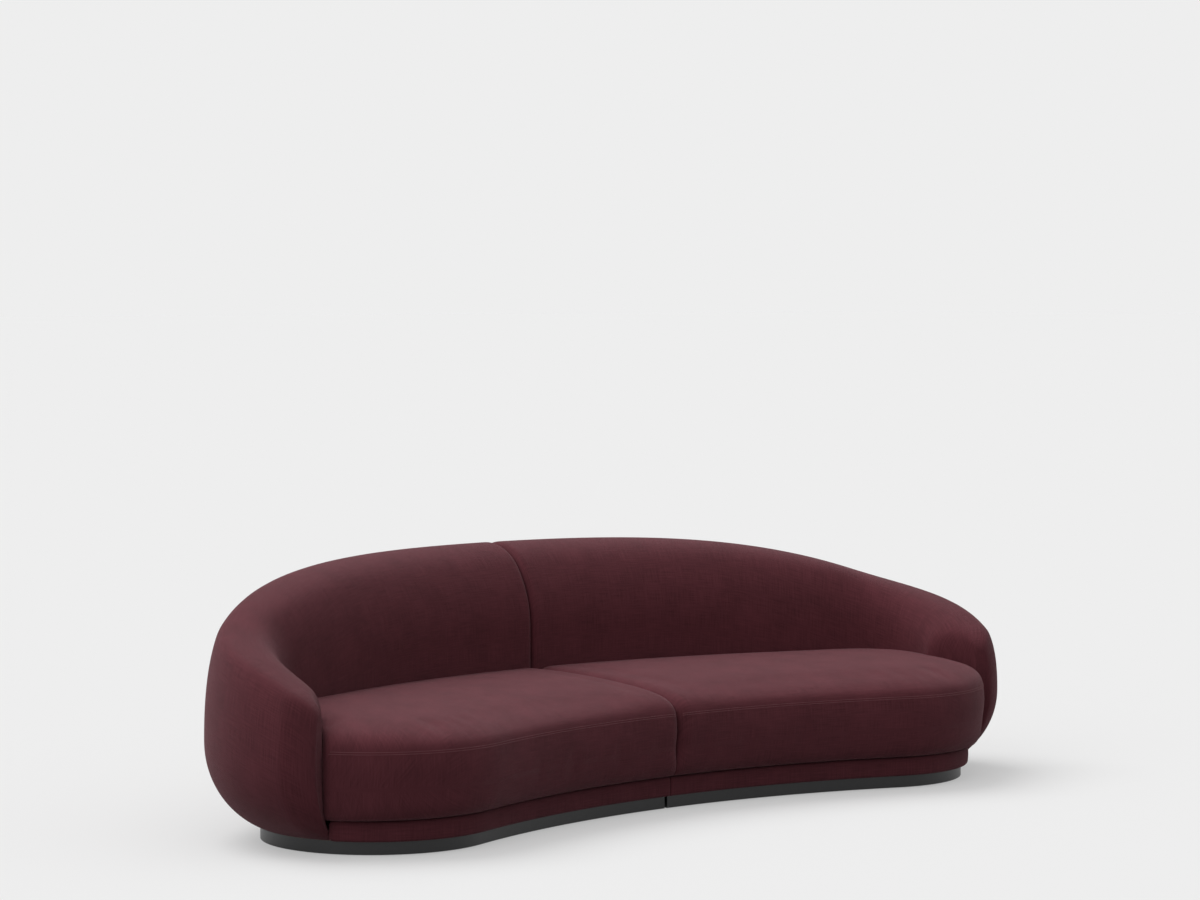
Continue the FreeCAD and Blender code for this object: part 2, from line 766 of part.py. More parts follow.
def bar_section(distance, shift_x):
    """A rectangle just inside the crest, for the bent rail along the top of the ribs."""
    p = profile_at(distance)
    top = p["top"] - foam - number("top_rail_depth")
    low = top - number("top_rail_height")
    near = p["crest"] - number("top_rail_width")
    corners = [(near, low), (p["crest"], low), (p["crest"], top), (near, top)]
    spots = [p["point"] + p["out"] * n + UP * z + V(shift_x, 0, 0) for n, z in corners]
    return Part.makePolygon(spots + spots[:1])


run = (path.length - number("nose_length")) * 0.93
first_x = number(HALF_GAP) + foam + 2 * clear
bar_wires = [bar_section(share * run, 0.0 if share else first_x) for share in BACK_PLACES + (1.0,)]
bar = Part.makeLoft(bar_wires, True, False).common(core)
right["top_rail"] = place_shape(doc.addObject("Part::Feature", "TopRail"), bar)

board_shape = in_plan(right["back_board"])
thick = number("rib_thickness")
first_rib = first_x + thick / 2
for index, distance in enumerate([first_rib] + [share * run for share in RIB_PLACES], start=1):
    point, out = path.at(distance)
    along = V(out.y, -out.x, 0)
    slab = Part.makeBox(thick, FAR, FAR)
    slab.translate(V(-thick / 2, -FAR / 2, 0))
    turn = FreeCAD.Rotation(along, out, UP, "ZXY")
    slab.Placement = FreeCAD.Placement(point, turn).multiply(slab.Placement)
    rib = slab.common(core).cut(bar).cut(board_shape)
    rib = max(rib.Solids, key=lambda solid: solid.Volume)
    right[f"back_rib_{index}"] = place_shape(doc.addObject("Part::Feature", f"BackRib{index}"), rib)

# Seat
wrap = number("seat_wrap")
seat = seat_block(0.0)
right["seat_cover"] = place_shape(doc.addObject("Part::Feature", "SeatCover"), seat.cut(seat_block(wrap)))
right["seat_core"] = place_shape(doc.addObject("Part::Feature", "SeatCore"), seat_block(wrap + clear))

# Connector: a blade under the right module that slides into a clip under the left one
pad_screws = ["(pad_start + 2 * screw_head_radius)", "(blade_tail - 2 * screw_head_radius)"]
blade_bar = box(
    "BladeBar", "blade_reach + blade_tail", "blade_width", "blade_thickness", "0 - blade_reach",
    "connector_offset - blade_width / 2", BLADE_BOTTOM,
)
blade_pad = box(
    "BladePad", "blade_tail - pad_start", "blade_width", "plinth_top - blade_top", "pad_start",
    "connector_offset - blade_width / 2", "blade_top",
)
blade_screws = []
blade_holes = []
for index, x in enumerate(pad_screws, start=1):
    bottom = f"{BLADE_BOTTOM} - screw_head_height"
    top = f"{SCREW_TOP} - hole_clearance"
    blade_screws.append(screw(f"BladeScrew{index}", x, "connector_offset", bottom, top))
    blade_holes.append(screw_hole(f"BladeHole{index}", x, "connector_offset", BLADE_BOTTOM, SCREW_TOP))
blade = fuse("BladeBody", [blade_bar, blade_pad])
right["connector_blade"] = cut("Blade", blade, group("BladeHoles", blade_holes))
right["panel_screws"] = group("PanelScrews", screws + blade_screws)

CLIP_START = "(0 - blade_reach - 4 * clip_wall)"
CLIP_LENGTH = "(blade_reach - 2 * clip_wall)"
INSIDE = "(blade_width / 2 + slide_clearance)"
OUTSIDE = "(blade_width / 2 + slide_clearance + clip_wall)"
CLIP_BOTTOM = f"({BLADE_BOTTOM} - slide_clearance - clip_wall)"
ROOF = "(blade_top + slide_clearance + clip_wall)"
channel = box(
    "ClipChannel", CLIP_LENGTH, f"2 * {OUTSIDE}", f"plinth_top - {CLIP_BOTTOM}", CLIP_START,
    f"connector_offset - {OUTSIDE}", CLIP_BOTTOM,
)
flange = box(
    "ClipFlange", CLIP_LENGTH, f"2 * ({OUTSIDE} + clip_flange)", "clip_wall", CLIP_START,
    f"connector_offset - {OUTSIDE} - clip_flange", "plinth_top - clip_wall",
)
throat = box(
    "ClipThroat", f"3 * {CLIP_LENGTH}", f"2 * {INSIDE}", "blade_thickness + 2 * slide_clearance",
    f"{CLIP_START} - {CLIP_LENGTH}", f"connector_offset - {INSIDE}", f"{BLADE_BOTTOM} - slide_clearance",
)
hollow = box(
    "ClipHollow", f"3 * {CLIP_LENGTH}", f"2 * {INSIDE}", f"plinth_top - {ROOF}",
    f"{CLIP_START} - {CLIP_LENGTH}", f"connector_offset - {INSIDE}", ROOF,
)
clip_screws = []
clip_holes = []
for index, side in enumerate(("-", "+"), start=1):
    x = f"({CLIP_START} + {CLIP_LENGTH} / 2)"
    y = f"(connector_offset {side} ({OUTSIDE} + clip_flange / 2))"
    bottom = "(plinth_top - clip_wall - screw_head_height)"
    top = f"{SCREW_TOP} - hole_clearance"
    clip_screws.append(screw(f"ClipScrew{index}", x, y, bottom, top))
    clip_holes.append(screw_hole(f"ClipHole{index}", x, y, "plinth_top - clip_wall", SCREW_TOP))
clip_body = fuse("ClipBody", [channel, flange])
left["connector_clip"] = cut("Clip", clip_body, group("ClipCuts", [throat, hollow] + clip_holes))
left_screws = [mirrored("MirrorScrews", group("BlockScrews", screws))]
left["panel_screws"] = group("ClipScrews", left_screws + clip_screws)

right["base_panel"] = cut("BasePanel", panel, group("PanelHoles", panel_holes + blade_holes))


# Left module, the mirror image of the right one with a clip instead of the blade

OWN_SIDE = ("connector_blade", "panel_screws", "base_panel")
for name, source in right.items():
    if name not in OWN_SIDE:
        left[name] = mirrored("Mirror_" + name, source)
left_panel = mirrored("Mirror_panel", cut("PanelLeft", panel, group("PanelLeftHoles", panel_holes)))
left["base_panel"] = cut("BasePanelLeft", left_panel, group("PanelClipHoles", clip_holes))

for side, module in (("left", left), ("right", right)):
    for name, obj in module.items():
        keep(obj, f"{side}_{name}")
doc.recompute()

# Every object has to be sound before anything is written
for obj in doc.Objects:
    if {"Invalid", "Error"} & set(obj.State):
        raise RuntimeError(f"{obj.Label} failed to build: {obj.State}")
for obj in parts:
    if obj.Shape.isNull() or not obj.Shape.isValid() or not obj.Shape.Solids:
        raise RuntimeError(f"{obj.Label} has no sound shape")

os.makedirs("parts", exist_ok=True)
for obj in parts:
    obj.Shape.exportStep(f"parts/{obj.Label}.step")
    b = obj.Shape.BoundBox
    size = f"{b.XMin:8.1f} {b.XMax:8.1f} {b.YMin:8.1f} {b.YMax:8.1f} {b.ZMin:7.1f} {b.ZMax:7.1f}"
    print(f"{obj.Label:24} {len(obj.Shape.Solids):3} {obj.Shape.Volume / 1000:10.1f} cm3 {size}")
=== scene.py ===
"""A low curved sofa in two halves, upholstered in wine red cloth, on a black recessed plinth.

Metres, +Z up, the front of the sofa towards -Y and the seam between the halves in the plane X = 0. Every
soft piece is made for the right half and mirrored for the left one.
"""
import bmesh
import bpy
import json
import math
import numpy as np
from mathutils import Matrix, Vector
from mathutils.bvhtree import BVHTree


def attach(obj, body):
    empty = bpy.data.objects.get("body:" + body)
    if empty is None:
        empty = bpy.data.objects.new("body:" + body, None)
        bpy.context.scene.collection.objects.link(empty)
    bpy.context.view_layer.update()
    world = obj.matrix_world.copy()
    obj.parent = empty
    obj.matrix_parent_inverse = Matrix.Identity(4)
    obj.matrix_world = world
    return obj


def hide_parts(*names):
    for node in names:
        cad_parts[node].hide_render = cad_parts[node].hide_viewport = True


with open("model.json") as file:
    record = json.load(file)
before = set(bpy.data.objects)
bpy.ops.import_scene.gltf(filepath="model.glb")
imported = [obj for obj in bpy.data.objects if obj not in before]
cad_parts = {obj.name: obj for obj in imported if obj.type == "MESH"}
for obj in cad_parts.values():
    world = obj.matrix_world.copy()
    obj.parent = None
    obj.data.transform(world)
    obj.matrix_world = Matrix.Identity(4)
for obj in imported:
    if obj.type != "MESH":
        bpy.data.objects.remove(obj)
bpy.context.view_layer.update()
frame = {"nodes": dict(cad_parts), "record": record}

# Plan of the plinth, in the plan's own frame with the centres of the rounded ends on the line y = 0
TIP_X = 0.918
TIP_RADIUS = 0.324
FRONT_RADIUS = 2.210
BACK_RADIUS = 1.650
CREASE_RADIUS = 2.448
ARM_INNER_RADIUS = 0.255
ARM_ANGLE = math.radians(31.0)

# Heights
PANEL_BOTTOM = 0.039
PANEL_TOP = 0.054
RAIL_TOP = 0.097
STITCH_HEIGHT = 0.283
CREST_HEIGHT = 0.730
ARM_END_HEIGHT = 0.362

# Gaps
HALF_GAP = 0.0005
CLEARANCE = 0.0005

# Back and arm: offsets outward from the plinth's plan, and heights
BACK_BULGE = 0.105
ARM_BULGE = 0.158
BACK_BULGE_HEIGHT = 0.480
ARM_BULGE_HEIGHT = 0.245
BACK_CREST_OFFSET = -0.043
ARM_CREST_OFFSET = 0.078
ARM_FULLNESS = 0.075
BACK_INNER_HEIGHT = 0.482
ARM_INNER_HEIGHT = 0.330
CREST_FALL = 0.050
CREST_POWER = 3.9

# Rise of the arm's top near its end, over shares of the back's length
ARM_LIFT = 0.044
ARM_LIFT_START = 0.76
ARM_LIFT_SPAN = 0.22

# Nose: the arm's rounded end beside the seat
NOSE_LENGTH = 0.060
NOSE_THICKNESS = 0.012
NOSE_ROUND = 0.058
NOSE_EDGE = 0.020
NOSE_PROUD = 0.030
NOSE_EASE = 0.22
NOSE_CREST = 0.064
NOSE_WALL = 0.060
NOSE_WALL_LENGTH = 0.080
NOSE_WALL_HEIGHT = 0.300
NOSE_RISE = 0.008
NOSE_ROLL = 0.038
NOSE_SLANT = math.radians(15.0)

# Shell of the back
COVER_LIP = 0.002
BACK_FOAM = 0.030
LINING_FOOT = -0.020
LINING_END = 0.150

# Rounding over at the seam: along the sofa, and how much of it the outline is drawn in
BACK_SEAM_ROUND = 0.026
BACK_SEAM_DRAW = 0.75
SEAT_SEAM_ROUND = 0.046
SEAT_SEAM_DRAW = 0.62
SEAM_FADE = 0.090

# Seat
SEAT_BULGE = 0.071
SEAT_CORNER_ROUND = 0.034
SEAT_BACK_ROUND = 0.016
TUCK_FALL = 0.45

# Cloth of the seat as it settles
CLOTH_PRESSURE = 2.0
CLOTH_SLACK = 0.0015
CLOTH_FRAMES = 20
CLOTH_QUALITY = 8
CLOTH_REACH = 0.006
CLOTH_MASS = 0.25
CLOTH_STRETCH = 12.0
CLOTH_BEND = 6.0

# Stitches along the seat
STITCH_ROWS = 0.006
STITCH_LENGTH = 0.0042
STITCH_PITCH = 0.0056
STITCH_DEPTH = 0.004
STITCH_START = 0.006
STITCH_END = 0.985
STITCH_STEPS = 700
STITCH_RINGS = 7
THREAD_SIDES = 6
THREAD_RADIUS = 0.0006
THREAD_LIFT = 0.0002
THREAD_SINK = 1.2
THREAD_TIP = 0.02
THREAD_STEP = 0.001

# Upholstered rail
RAIL_REACH = 0.022
RAIL_ROUND = 0.008
RAIL_SWELL = 0.0012
RAIL_END_ROUND = 0.004

# Points along the parts of each outline, and rows along each piece
SKIN_COUNTS = (20, 22, 22, 16)
LINING_COUNTS = (5, 6, 6, 4)
ARC_COUNT = 40
BACK_ROWS = 76
NOSE_ROWS = 19
SEAM_ROWS = 7
SIDE_COUNT = 16
CROWN_COUNT = 34
BACK_COUNT = 12
BOTTOM_COUNT = 20
SEAT_ROWS = 84
SEAT_SEAM_ROWS = 9
SEAT_END_ROWS = 9
RAIL_ROWS = 84
RAIL_END_ROWS = 4
RAIL_CORNER_COUNT = 5
RAIL_FACE_COUNT = 7
RAIL_INSIDE_COUNT = 6
CAP_COLUMNS = 10
LOW_FINENESS = 3
CROWN_FINENESS = 200
SPLINE_FINENESS = 40
SEAT_CORNER_COUNT = 5

# Rows and points of the seat that are held while its cloth settles
HELD_AT_SEAM = 12
HELD_AT_ARM = 10
HELD_UNDER_STITCH = 1
HELD_OVER_STITCH = 2
HELD_AT_WALL = 3

# Keeps a division by a length from failing where the length is zero
TINY = 1e-9


def rise(radius, tip):
    """How far an arc that touches the rounded end lies beyond the end's centre, at the seam."""
    return radius - math.sqrt((radius - tip) ** 2 - TIP_X ** 2)


PLAN_Y = (TIP_RADIUS + SEAT_BULGE - rise(BACK_RADIUS, TIP_RADIUS) - BACK_BULGE) / 2


def mix(start, end, share):
    return start + (end - start) * share


# Plan lines

class Plan:
    """Front arc, end arc and back arc that touch, for half of the sofa."""

    def __init__(self, tip, front, back):
        self.tip = tip
        self.front = front
        self.back = back
        self.front_y = -math.sqrt((front + tip) ** 2 - TIP_X ** 2)
        self.back_y = -math.sqrt((back - tip) ** 2 - TIP_X ** 2)
        self.front_turn = math.atan2(-self.front_y, TIP_X)
        self.back_turn = math.atan2(-self.back_y, TIP_X)

    def on_tip(self, angle):
        out = np.array([math.cos(angle), math.sin(angle)])
        return np.array([TIP_X, 0.0]) + self.tip * out, out

    def on_back(self, angle):
        out = np.array([math.cos(angle), math.sin(angle)])
        return np.array([0.0, self.back_y]) + self.back * out, out

    def on_front(self, angle):
        out = np.array([math.cos(angle), math.sin(angle)])
        return np.array([0.0, self.front_y]) + self.front * out, -out

    def back_length(self):
        return self.back * (math.pi / 2 - self.back_turn)

    def from_seam_behind(self, distance):
        """Point and outward direction at a distance from the seam along the back, then round the end."""
        straight = self.back_length()
        if distance < straight:
            return self.on_back(math.pi / 2 - distance / self.back)
        return self.on_tip(self.back_turn - (distance - straight) / self.tip)

    def front_length(self):
        return self.front * (math.pi / 2 - self.front_turn)

    def from_seam_in_front(self, distance):
        """Point and outward direction at a distance from the seam along the front, then round the end."""
        straight = self.front_length()
        if distance < straight:
            return self.on_front(math.pi / 2 - distance / self.front)
        return self.on_tip(self.front_turn - math.pi + (distance - straight) / self.tip)


plinth = Plan(TIP_RADIUS, FRONT_RADIUS, BACK_RADIUS)
hollow = Plan(ARM_INNER_RADIUS, FRONT_RADIUS + TIP_RADIUS - ARM_INNER_RADIUS, CREASE_RADIUS)
BACK_LENGTH = plinth.back_length() + TIP_RADIUS * (plinth.back_turn + ARM_ANGLE)


def wall_hit(point, out, centre, radius):
    offset = point - centre
    along = offset @ out
    return -along + math.sqrt(max(along ** 2 - offset @ offset + radius ** 2, 0.0))


def inner_offset(point, out):
    """Offset of the hollow's wall from the plinth's plan."""
    centre = np.array([TIP_X, 0.0])
    best = wall_hit(point, out, centre, ARM_INNER_RADIUS)
    hit = point + out * best - centre
    if math.atan2(hit[1], hit[0]) > hollow.back_turn:
        best = wall_hit(point, out, np.array([0.0, hollow.back_y]), CREASE_RADIUS)
    return best


# Curves

def arc_points(centre, radius, start, end, count):
    angles = np.linspace(start, end, count)
    return np.stack([centre[0] + radius * np.cos(angles), centre[1] + radius * np.sin(angles)], 1)


def two_arcs(side, top, count):
    """Points of two arcs that touch and turn from upright at side to level at top."""
    reach = abs(top[0] - side[0])
    climb = top[1] - side[1]
    sign = 1.0 if side[0] > top[0] else -1.0
    turn = math.atan2(reach, climb)
    size = math.hypot(reach, climb) / (math.sin(turn) + math.cos(turn) - 1)
    large = size * (1 - math.sin(turn))
    small = size * (1 - math.cos(turn))
    first = arc_points((0.0, 0.0), large, 0.0, turn, count)
    first[:, 0] -= large
    second = arc_points((0.0, 0.0), small, turn, math.pi / 2, count)
    first = np.stack([side[0] + sign * first[:, 0], side[1] + first[:, 1]], 1)
    second = np.stack([top[0] + sign * second[:, 0], top[1] - small + second[:, 1]], 1)
    return np.concatenate([first, second[1:]])


def spread(points, count):
    """The same line with evenly spaced points."""
    points = np.asarray(points, float)
    steps = np.linalg.norm(np.diff(points, axis=0), axis=1)
    along = np.concatenate([[0.0], np.cumsum(steps)])
    places = np.linspace(0.0, along[-1], count)
    return np.stack([np.interp(places, along, points[:, k]) for k in range(points.shape[1])], 1)


def spline(points, count):
    """A smooth line through a few points, with evenly spaced points of its own."""
    points = np.asarray(points, float)
    along = np.concatenate([[0.0], np.cumsum(np.linalg.norm(np.diff(points, axis=0), axis=1))])
    size = len(points)
    matrix = np.eye(size)
    right = np.zeros_like(points)
    gaps = np.diff(along)
    for k in range(1, size - 1):
        matrix[k, k - 1:k + 2] = (gaps[k - 1], 2 * (gaps[k - 1] + gaps[k]), gaps[k])
        right[k] = 6 * ((points[k + 1] - points[k]) / gaps[k] - (points[k] - points[k - 1]) / gaps[k - 1])
    bend = np.linalg.solve(matrix, right)
    dense = np.linspace(0.0, along[-1], SPLINE_FINENESS * size)
    index = np.clip(np.searchsorted(along, dense, side="right") - 1, 0, size - 2)
    h = gaps[index][:, None]
    a = (along[index + 1] - dense)[:, None] / h
    b = 1 - a
    curve = a * points[index] + b * points[index + 1]
    curve += ((a ** 3 - a) * bend[index] + (b ** 3 - b) * bend[index + 1]) * h ** 2 / 6
    return spread(curve, count)


# Meshes

def link(name, mesh):
    """A smooth shaded object of a mesh, with every face turned outward."""
    turned = bmesh.new()
    turned.from_mesh(mesh)
    bmesh.ops.recalc_face_normals(turned, faces=turned.faces)
    turned.to_mesh(mesh)
    turned.free()
    mesh.polygons.foreach_set("use_smooth", [True] * len(mesh.polygons))
    mesh.update()
    return link_as_it_is(name, mesh)


def link_as_it_is(name, data):
    obj = bpy.data.objects.new(name, data)
    bpy.context.scene.collection.objects.link(obj)
    return obj


def ladder(ring, columns):
    """Rows of points that fill a ring whose points pair up across it, the first with the last."""
    half = len(ring) // 2
    rows = []
    for k in range(half):
        start = ring[k]
        end = ring[len(ring) - 1 - k]
        rows.append([start + (end - start) * c / columns for c in range(columns + 1)])
    return rows


class Builder:
    """Collects vertices, faces and the cloth's flat coordinates, then makes one mesh object."""

    def __init__(self):
        self.places = []
        self.faces = []
        self.flat = []

    def add(self, place, flat):
        self.places.append(tuple(place))
        self.flat.append(tuple(flat))
        return len(self.places) - 1

    def grid(self, rows, closed):
        """Adds rings of points as a band of quads and returns their numbers."""
        rows = np.asarray(rows, float)
        across = np.linalg.norm(np.diff(rows, axis=1), axis=2)
        v = np.concatenate([np.zeros((len(rows), 1)), np.cumsum(across, axis=1)], 1)
        v -= v[:, v.shape[1] // 2:v.shape[1] // 2 + 1]
        middle = rows[:, rows.shape[1] // 2]
        u = np.concatenate([[0.0], np.cumsum(np.linalg.norm(np.diff(middle, axis=0), axis=1))])
        numbers = []
        for i, row in enumerate(rows):
            numbers.append([self.add(point, (u[i], v[i, j])) for j, point in enumerate(row)])
        last = len(rows[0]) if closed else len(rows[0]) - 1
        for i in range(len(rows) - 1):
            for j in range(last):
                k = (j + 1) % len(rows[0])
                self.faces.append((numbers[i][j], numbers[i][k], numbers[i + 1][k], numbers[i + 1][j]))
        return numbers

    def bridge(self, one, other):
        """Joins two lines of as many points with a strip of quads."""
        for k in range(len(one) - 1):
            self.faces.append((one[k], one[k + 1], other[k + 1], other[k]))

    def cap(self, ring, numbers):
        """Closes a ring with a ladder of quads between opposite points and gives back its first line."""
        rows = ladder(ring, CAP_COLUMNS)
        grid = []
        for k, row in enumerate(rows):
            line = [numbers[k]]
            for point in row[1:-1]:
                line.append(self.add(point, (point[1], point[2])))
            line.append(numbers[len(ring) - 1 - k])
            grid.append(line)
        for k in range(len(grid) - 1):
            for c in range(CAP_COLUMNS):
                self.faces.append((grid[k][c], grid[k][c + 1], grid[k + 1][c + 1], grid[k + 1][c]))
        return grid[0]

    def fan(self, ring, numbers):
        """Closes a small ring with triangles round its middle."""
        middle = np.mean(ring, axis=0)
        hub = self.add(middle, (middle[1], middle[2]))
        for k in range(len(numbers)):
            self.faces.append((numbers[k], numbers[(k + 1) % len(numbers)], hub))

    def make(self, name, mirror):
        """The finished mesh object, mirrored to the left half when asked."""
        places = np.array(self.places)
        places[:, 1] += PLAN_Y
        if mirror:
            places[:, 0] *= -1
        mesh = bpy.data.meshes.new(name)
        mesh.from_pydata([tuple(p) for p in places], [], self.faces)
        layer = mesh.uv_layers.new(name="cloth")
        flat = np.array(self.flat)
        loops = np.zeros(len(mesh.loops), int)
        mesh.loops.foreach_get("vertex_index", loops)
        layer.data.foreach_set("uv", flat[loops].astype(np.float32).ravel())
        return link(name, mesh)


def subdivide(obj):
    """Applies one smooth subdivision to the mesh."""
    modifier = obj.modifiers.new("smooth", "SUBSURF")
    modifier.levels = 1
    modifier.render_levels = 1
    depsgraph = bpy.context.evaluated_depsgraph_get()
    mesh = bpy.data.meshes.new_from_object(obj.evaluated_get(depsgraph))
    obj.modifiers.clear()
    old = obj.data
    obj.data = mesh
    bpy.data.meshes.remove(old)
    mesh.polygons.foreach_set("use_smooth", [True] * len(mesh.polygons))


# Back and arm

def smooth_step(share):
    share = min(max(share, 0.0), 1.0)
    return share * share * (3 - 2 * share)


def eased(share):
    """A slope that starts softly at 0 and runs straight up to 1."""
    climb = math.hypot(max(share, 0.0), NOSE_EASE) - NOSE_EASE
    return climb / (math.hypot(1, NOSE_EASE) - NOSE_EASE)


def nose_shape(distance):
    """How far the arm's end is drawn in from outside and inside, and rolled over its edge, from 0 to 1."""
    left = max(BACK_LENGTH - distance, 0.0)
    over = max(1 - left / NOSE_ROUND, 0.0)
    roll = 1 - math.sqrt(1 - over ** 2)
    return eased(1 - left / NOSE_LENGTH), eased(1 - left / NOSE_WALL_LENGTH), roll


def fuller(points, corner, share):
    """A quarter outline pushed out from its inner corner, most in its middle and not at its ends."""
    away = points - corner
    reach = np.maximum(np.abs(away).max(axis=0), TINY)
    turn = np.arctan2(np.abs(away[:, 1]) / reach[1], np.abs(away[:, 0]) / reach[0])
    return corner + away * (1 + share * np.sin(2 * turn) ** 2)[:, None]


def back_section(distance, inset, counts):
    """The outline of the back in its own plane, from the foot outside over the crest to the foot inside."""
    share = min(max(distance / BACK_LENGTH, 0.0), 1.0)
    ease = smooth_step(share)
    draw, narrow, roll = nose_shape(distance)
    point, out = plinth.from_seam_behind(max(distance, 0.0))
    wall = mix(inner_offset(point, out), NOSE_WALL, narrow)
    bulge = mix(BACK_BULGE, ARM_BULGE, ease)
    bulge = mix(bulge, SEAT_BULGE + NOSE_PROUD + NOSE_EDGE, draw) - NOSE_EDGE * roll
    bulge_height = mix(BACK_BULGE_HEIGHT, ARM_BULGE_HEIGHT, ease)
    crest = mix(mix(BACK_CREST_OFFSET, ARM_CREST_OFFSET, ease), NOSE_CREST, draw)
    fall = CREST_HEIGHT - CREST_FALL - ARM_END_HEIGHT
    top = CREST_HEIGHT - CREST_FALL * share ** 2 - fall * share ** CREST_POWER
    top += ARM_LIFT * smooth_step((share - ARM_LIFT_START) / ARM_LIFT_SPAN)
    top += NOSE_RISE * draw - NOSE_ROLL * roll
    inner_height = mix(BACK_INNER_HEIGHT, ARM_INNER_HEIGHT, share ** 2)
    inner_height = mix(inner_height, NOSE_WALL_HEIGHT, draw)

    low_z = PANEL_BOTTOM + CLEARANCE
    lip = CLEARANCE + COVER_LIP
    climb = bulge_height - low_z
    round_low = ((bulge - lip) ** 2 + climb ** 2) / (2 * (bulge - lip))
    centre = (bulge - round_low, bulge_height)
    arm = round_low - inset
    foot = LINING_FOOT if inset else lip
    turn = -math.acos(min(1.0, (foot - centre[0]) / arm))
    low = arc_points(centre, arm, turn, 0.0, counts[0] * LOW_FINENESS)
    crown = (crest, top - inset)
    inner = (wall + inset, inner_height)
    floor = PANEL_TOP + CLEARANCE
    if inset:
        tuck = [(foot, floor)]
    else:
        tuck = [(CLEARANCE, floor), (CLEARANCE, (floor + low_z) / 2), (CLEARANCE, low_z)]
    inside = spread([inner, (inner[0], floor)], counts[3])
    skin = np.interp(inside[:, 1], low[:, 1], low[:, 0])
    inside[:, 0] = np.minimum(inside[:, 0], skin - NOSE_THICKNESS)
    outside_arcs = two_arcs((bulge - inset, bulge_height), crown, ARC_COUNT)
    inside_arcs = two_arcs(inner, crown, ARC_COUNT)[::-1]
    full = ARM_FULLNESS * ease
    line = np.concatenate([
        tuck,
        spread(low, counts[0])[:-1],
        spread(fuller(outside_arcs, (crest, bulge_height), full), counts[1])[:-1],
        spread(fuller(inside_arcs, (crest, inner_height), full), counts[2])[:-1],
        inside,
    ])
    flat = point + np.outer(line[:, 0], out)
    return np.column_stack([flat, line[:, 1]])


def edge_places(radius, count):
    """Distances from a flat end, with how far the outline is drawn in there, for a rounded edge."""
    turns = np.linspace(0.0, math.pi / 2, count)
    return [(radius * (1 - math.cos(t)), radius * (1 - math.sin(t))) for t in turns]


def drawn_in(section, inset):
    """The open outline of a section at the seam, shrunk by inset in its own plane."""
    step = np.gradient(section, axis=0)
    step /= np.maximum(np.linalg.norm(step, axis=1, keepdims=True), TINY)
    moved = section.copy()
    moved[:, 1] -= step[:, 2] * inset
    moved[:, 2] += step[:, 1] * inset
    return moved


def faded(outline, changed, floor):
    """An outline that goes over from itself at the floor to its changed form a little above."""
    share = np.clip((outline[:, 2:] - floor) / SEAM_FADE, 0.0, 1.0)
    return outline + (changed - outline) * share


def make_back(name, mirror):
    """The upholstered back and arm: a foam and cloth shell that is open at its foot."""
    builder = Builder()
    rows = []
    seam = back_section(0.0, 0.0, SKIN_COUNTS)
    for depth, inset in edge_places(BACK_SEAM_ROUND, SEAM_ROWS):
        row = faded(seam, drawn_in(seam, inset * BACK_SEAM_DRAW), PANEL_TOP)
        row[:, 0] += HALF_GAP + depth
        rows.append(row)
    start = BACK_LENGTH - NOSE_LENGTH
    places = list(np.linspace(BACK_SEAM_ROUND, start, BACK_ROWS)[1:])
    turns = np.linspace(0.0, math.pi / 2, NOSE_ROWS)[1:]
    places += [start + NOSE_LENGTH * math.sin(t) for t in turns]
    rows += [back_section(d, 0.0, SKIN_COUNTS) for d in places]
    numbers = builder.grid(rows, False)
    near = builder.cap(rows[0], numbers[0])
    far = builder.cap(rows[-1], numbers[-1])

    places = np.linspace(BACK_FOAM, BACK_LENGTH - LINING_END, len(rows))
    lining = [back_section(d, BACK_FOAM, LINING_COUNTS) for d in places]
    lining[0][:, 0] += HALF_GAP
    inner = builder.grid(lining, False)
    inner_near = builder.cap(lining[0], inner[0])
    inner_far = builder.cap(lining[-1], inner[-1])
    builder.bridge([line[0] for line in numbers], [line[0] for line in inner])
    builder.bridge([line[-1] for line in numbers], [line[-1] for line in inner])
    builder.bridge(near, inner_near)
    builder.bridge(far, inner_far)
    obj = builder.make(name, mirror)
    subdivide(obj)
    return obj


# Seat

# Outline of the seat across its depth: distance from its foremost line, and height
SEAT_SIDE = [(0.040, 0.0985), (0.026, 0.110), (0.0086, 0.172), (0.0, 0.240), (STITCH_DEPTH, STITCH_HEIGHT)]
SEAT_CROWN = [
    (STITCH_DEPTH, STITCH_HEIGHT), (0.0088, 0.2985), (0.021, 0.3145), (0.043, 0.3285), (0.080, 0.3395),
    (0.130, 0.3475), (0.190, 0.3535), (0.262, 0.3585), (0.342, 0.3625), (0.436, 0.3650), (0.532, 0.3660),
    (0.690, 0.3620),
]
seat_plan = Plan(TIP_RADIUS + SEAT_BULGE, FRONT_RADIUS - SEAT_BULGE, BACK_RADIUS)
seat_wall = Plan(ARM_INNER_RADIUS - CLEARANCE, FRONT_RADIUS, CREASE_RADIUS - CLEARANCE)
SEAT_FRONT_LENGTH = seat_plan.front_length() + seat_plan.tip * (math.pi - seat_plan.front_turn - ARM_ANGLE)
SEAT_BACK_LENGTH = seat_wall.back_length()
SEAT_BACK_LENGTH += seat_wall.tip * (seat_wall.back_turn + ARM_ANGLE - NOSE_SLANT)
side_line = spline(SEAT_SIDE, SIDE_COUNT)
crown_line = spline(SEAT_CROWN, CROWN_FINENESS)


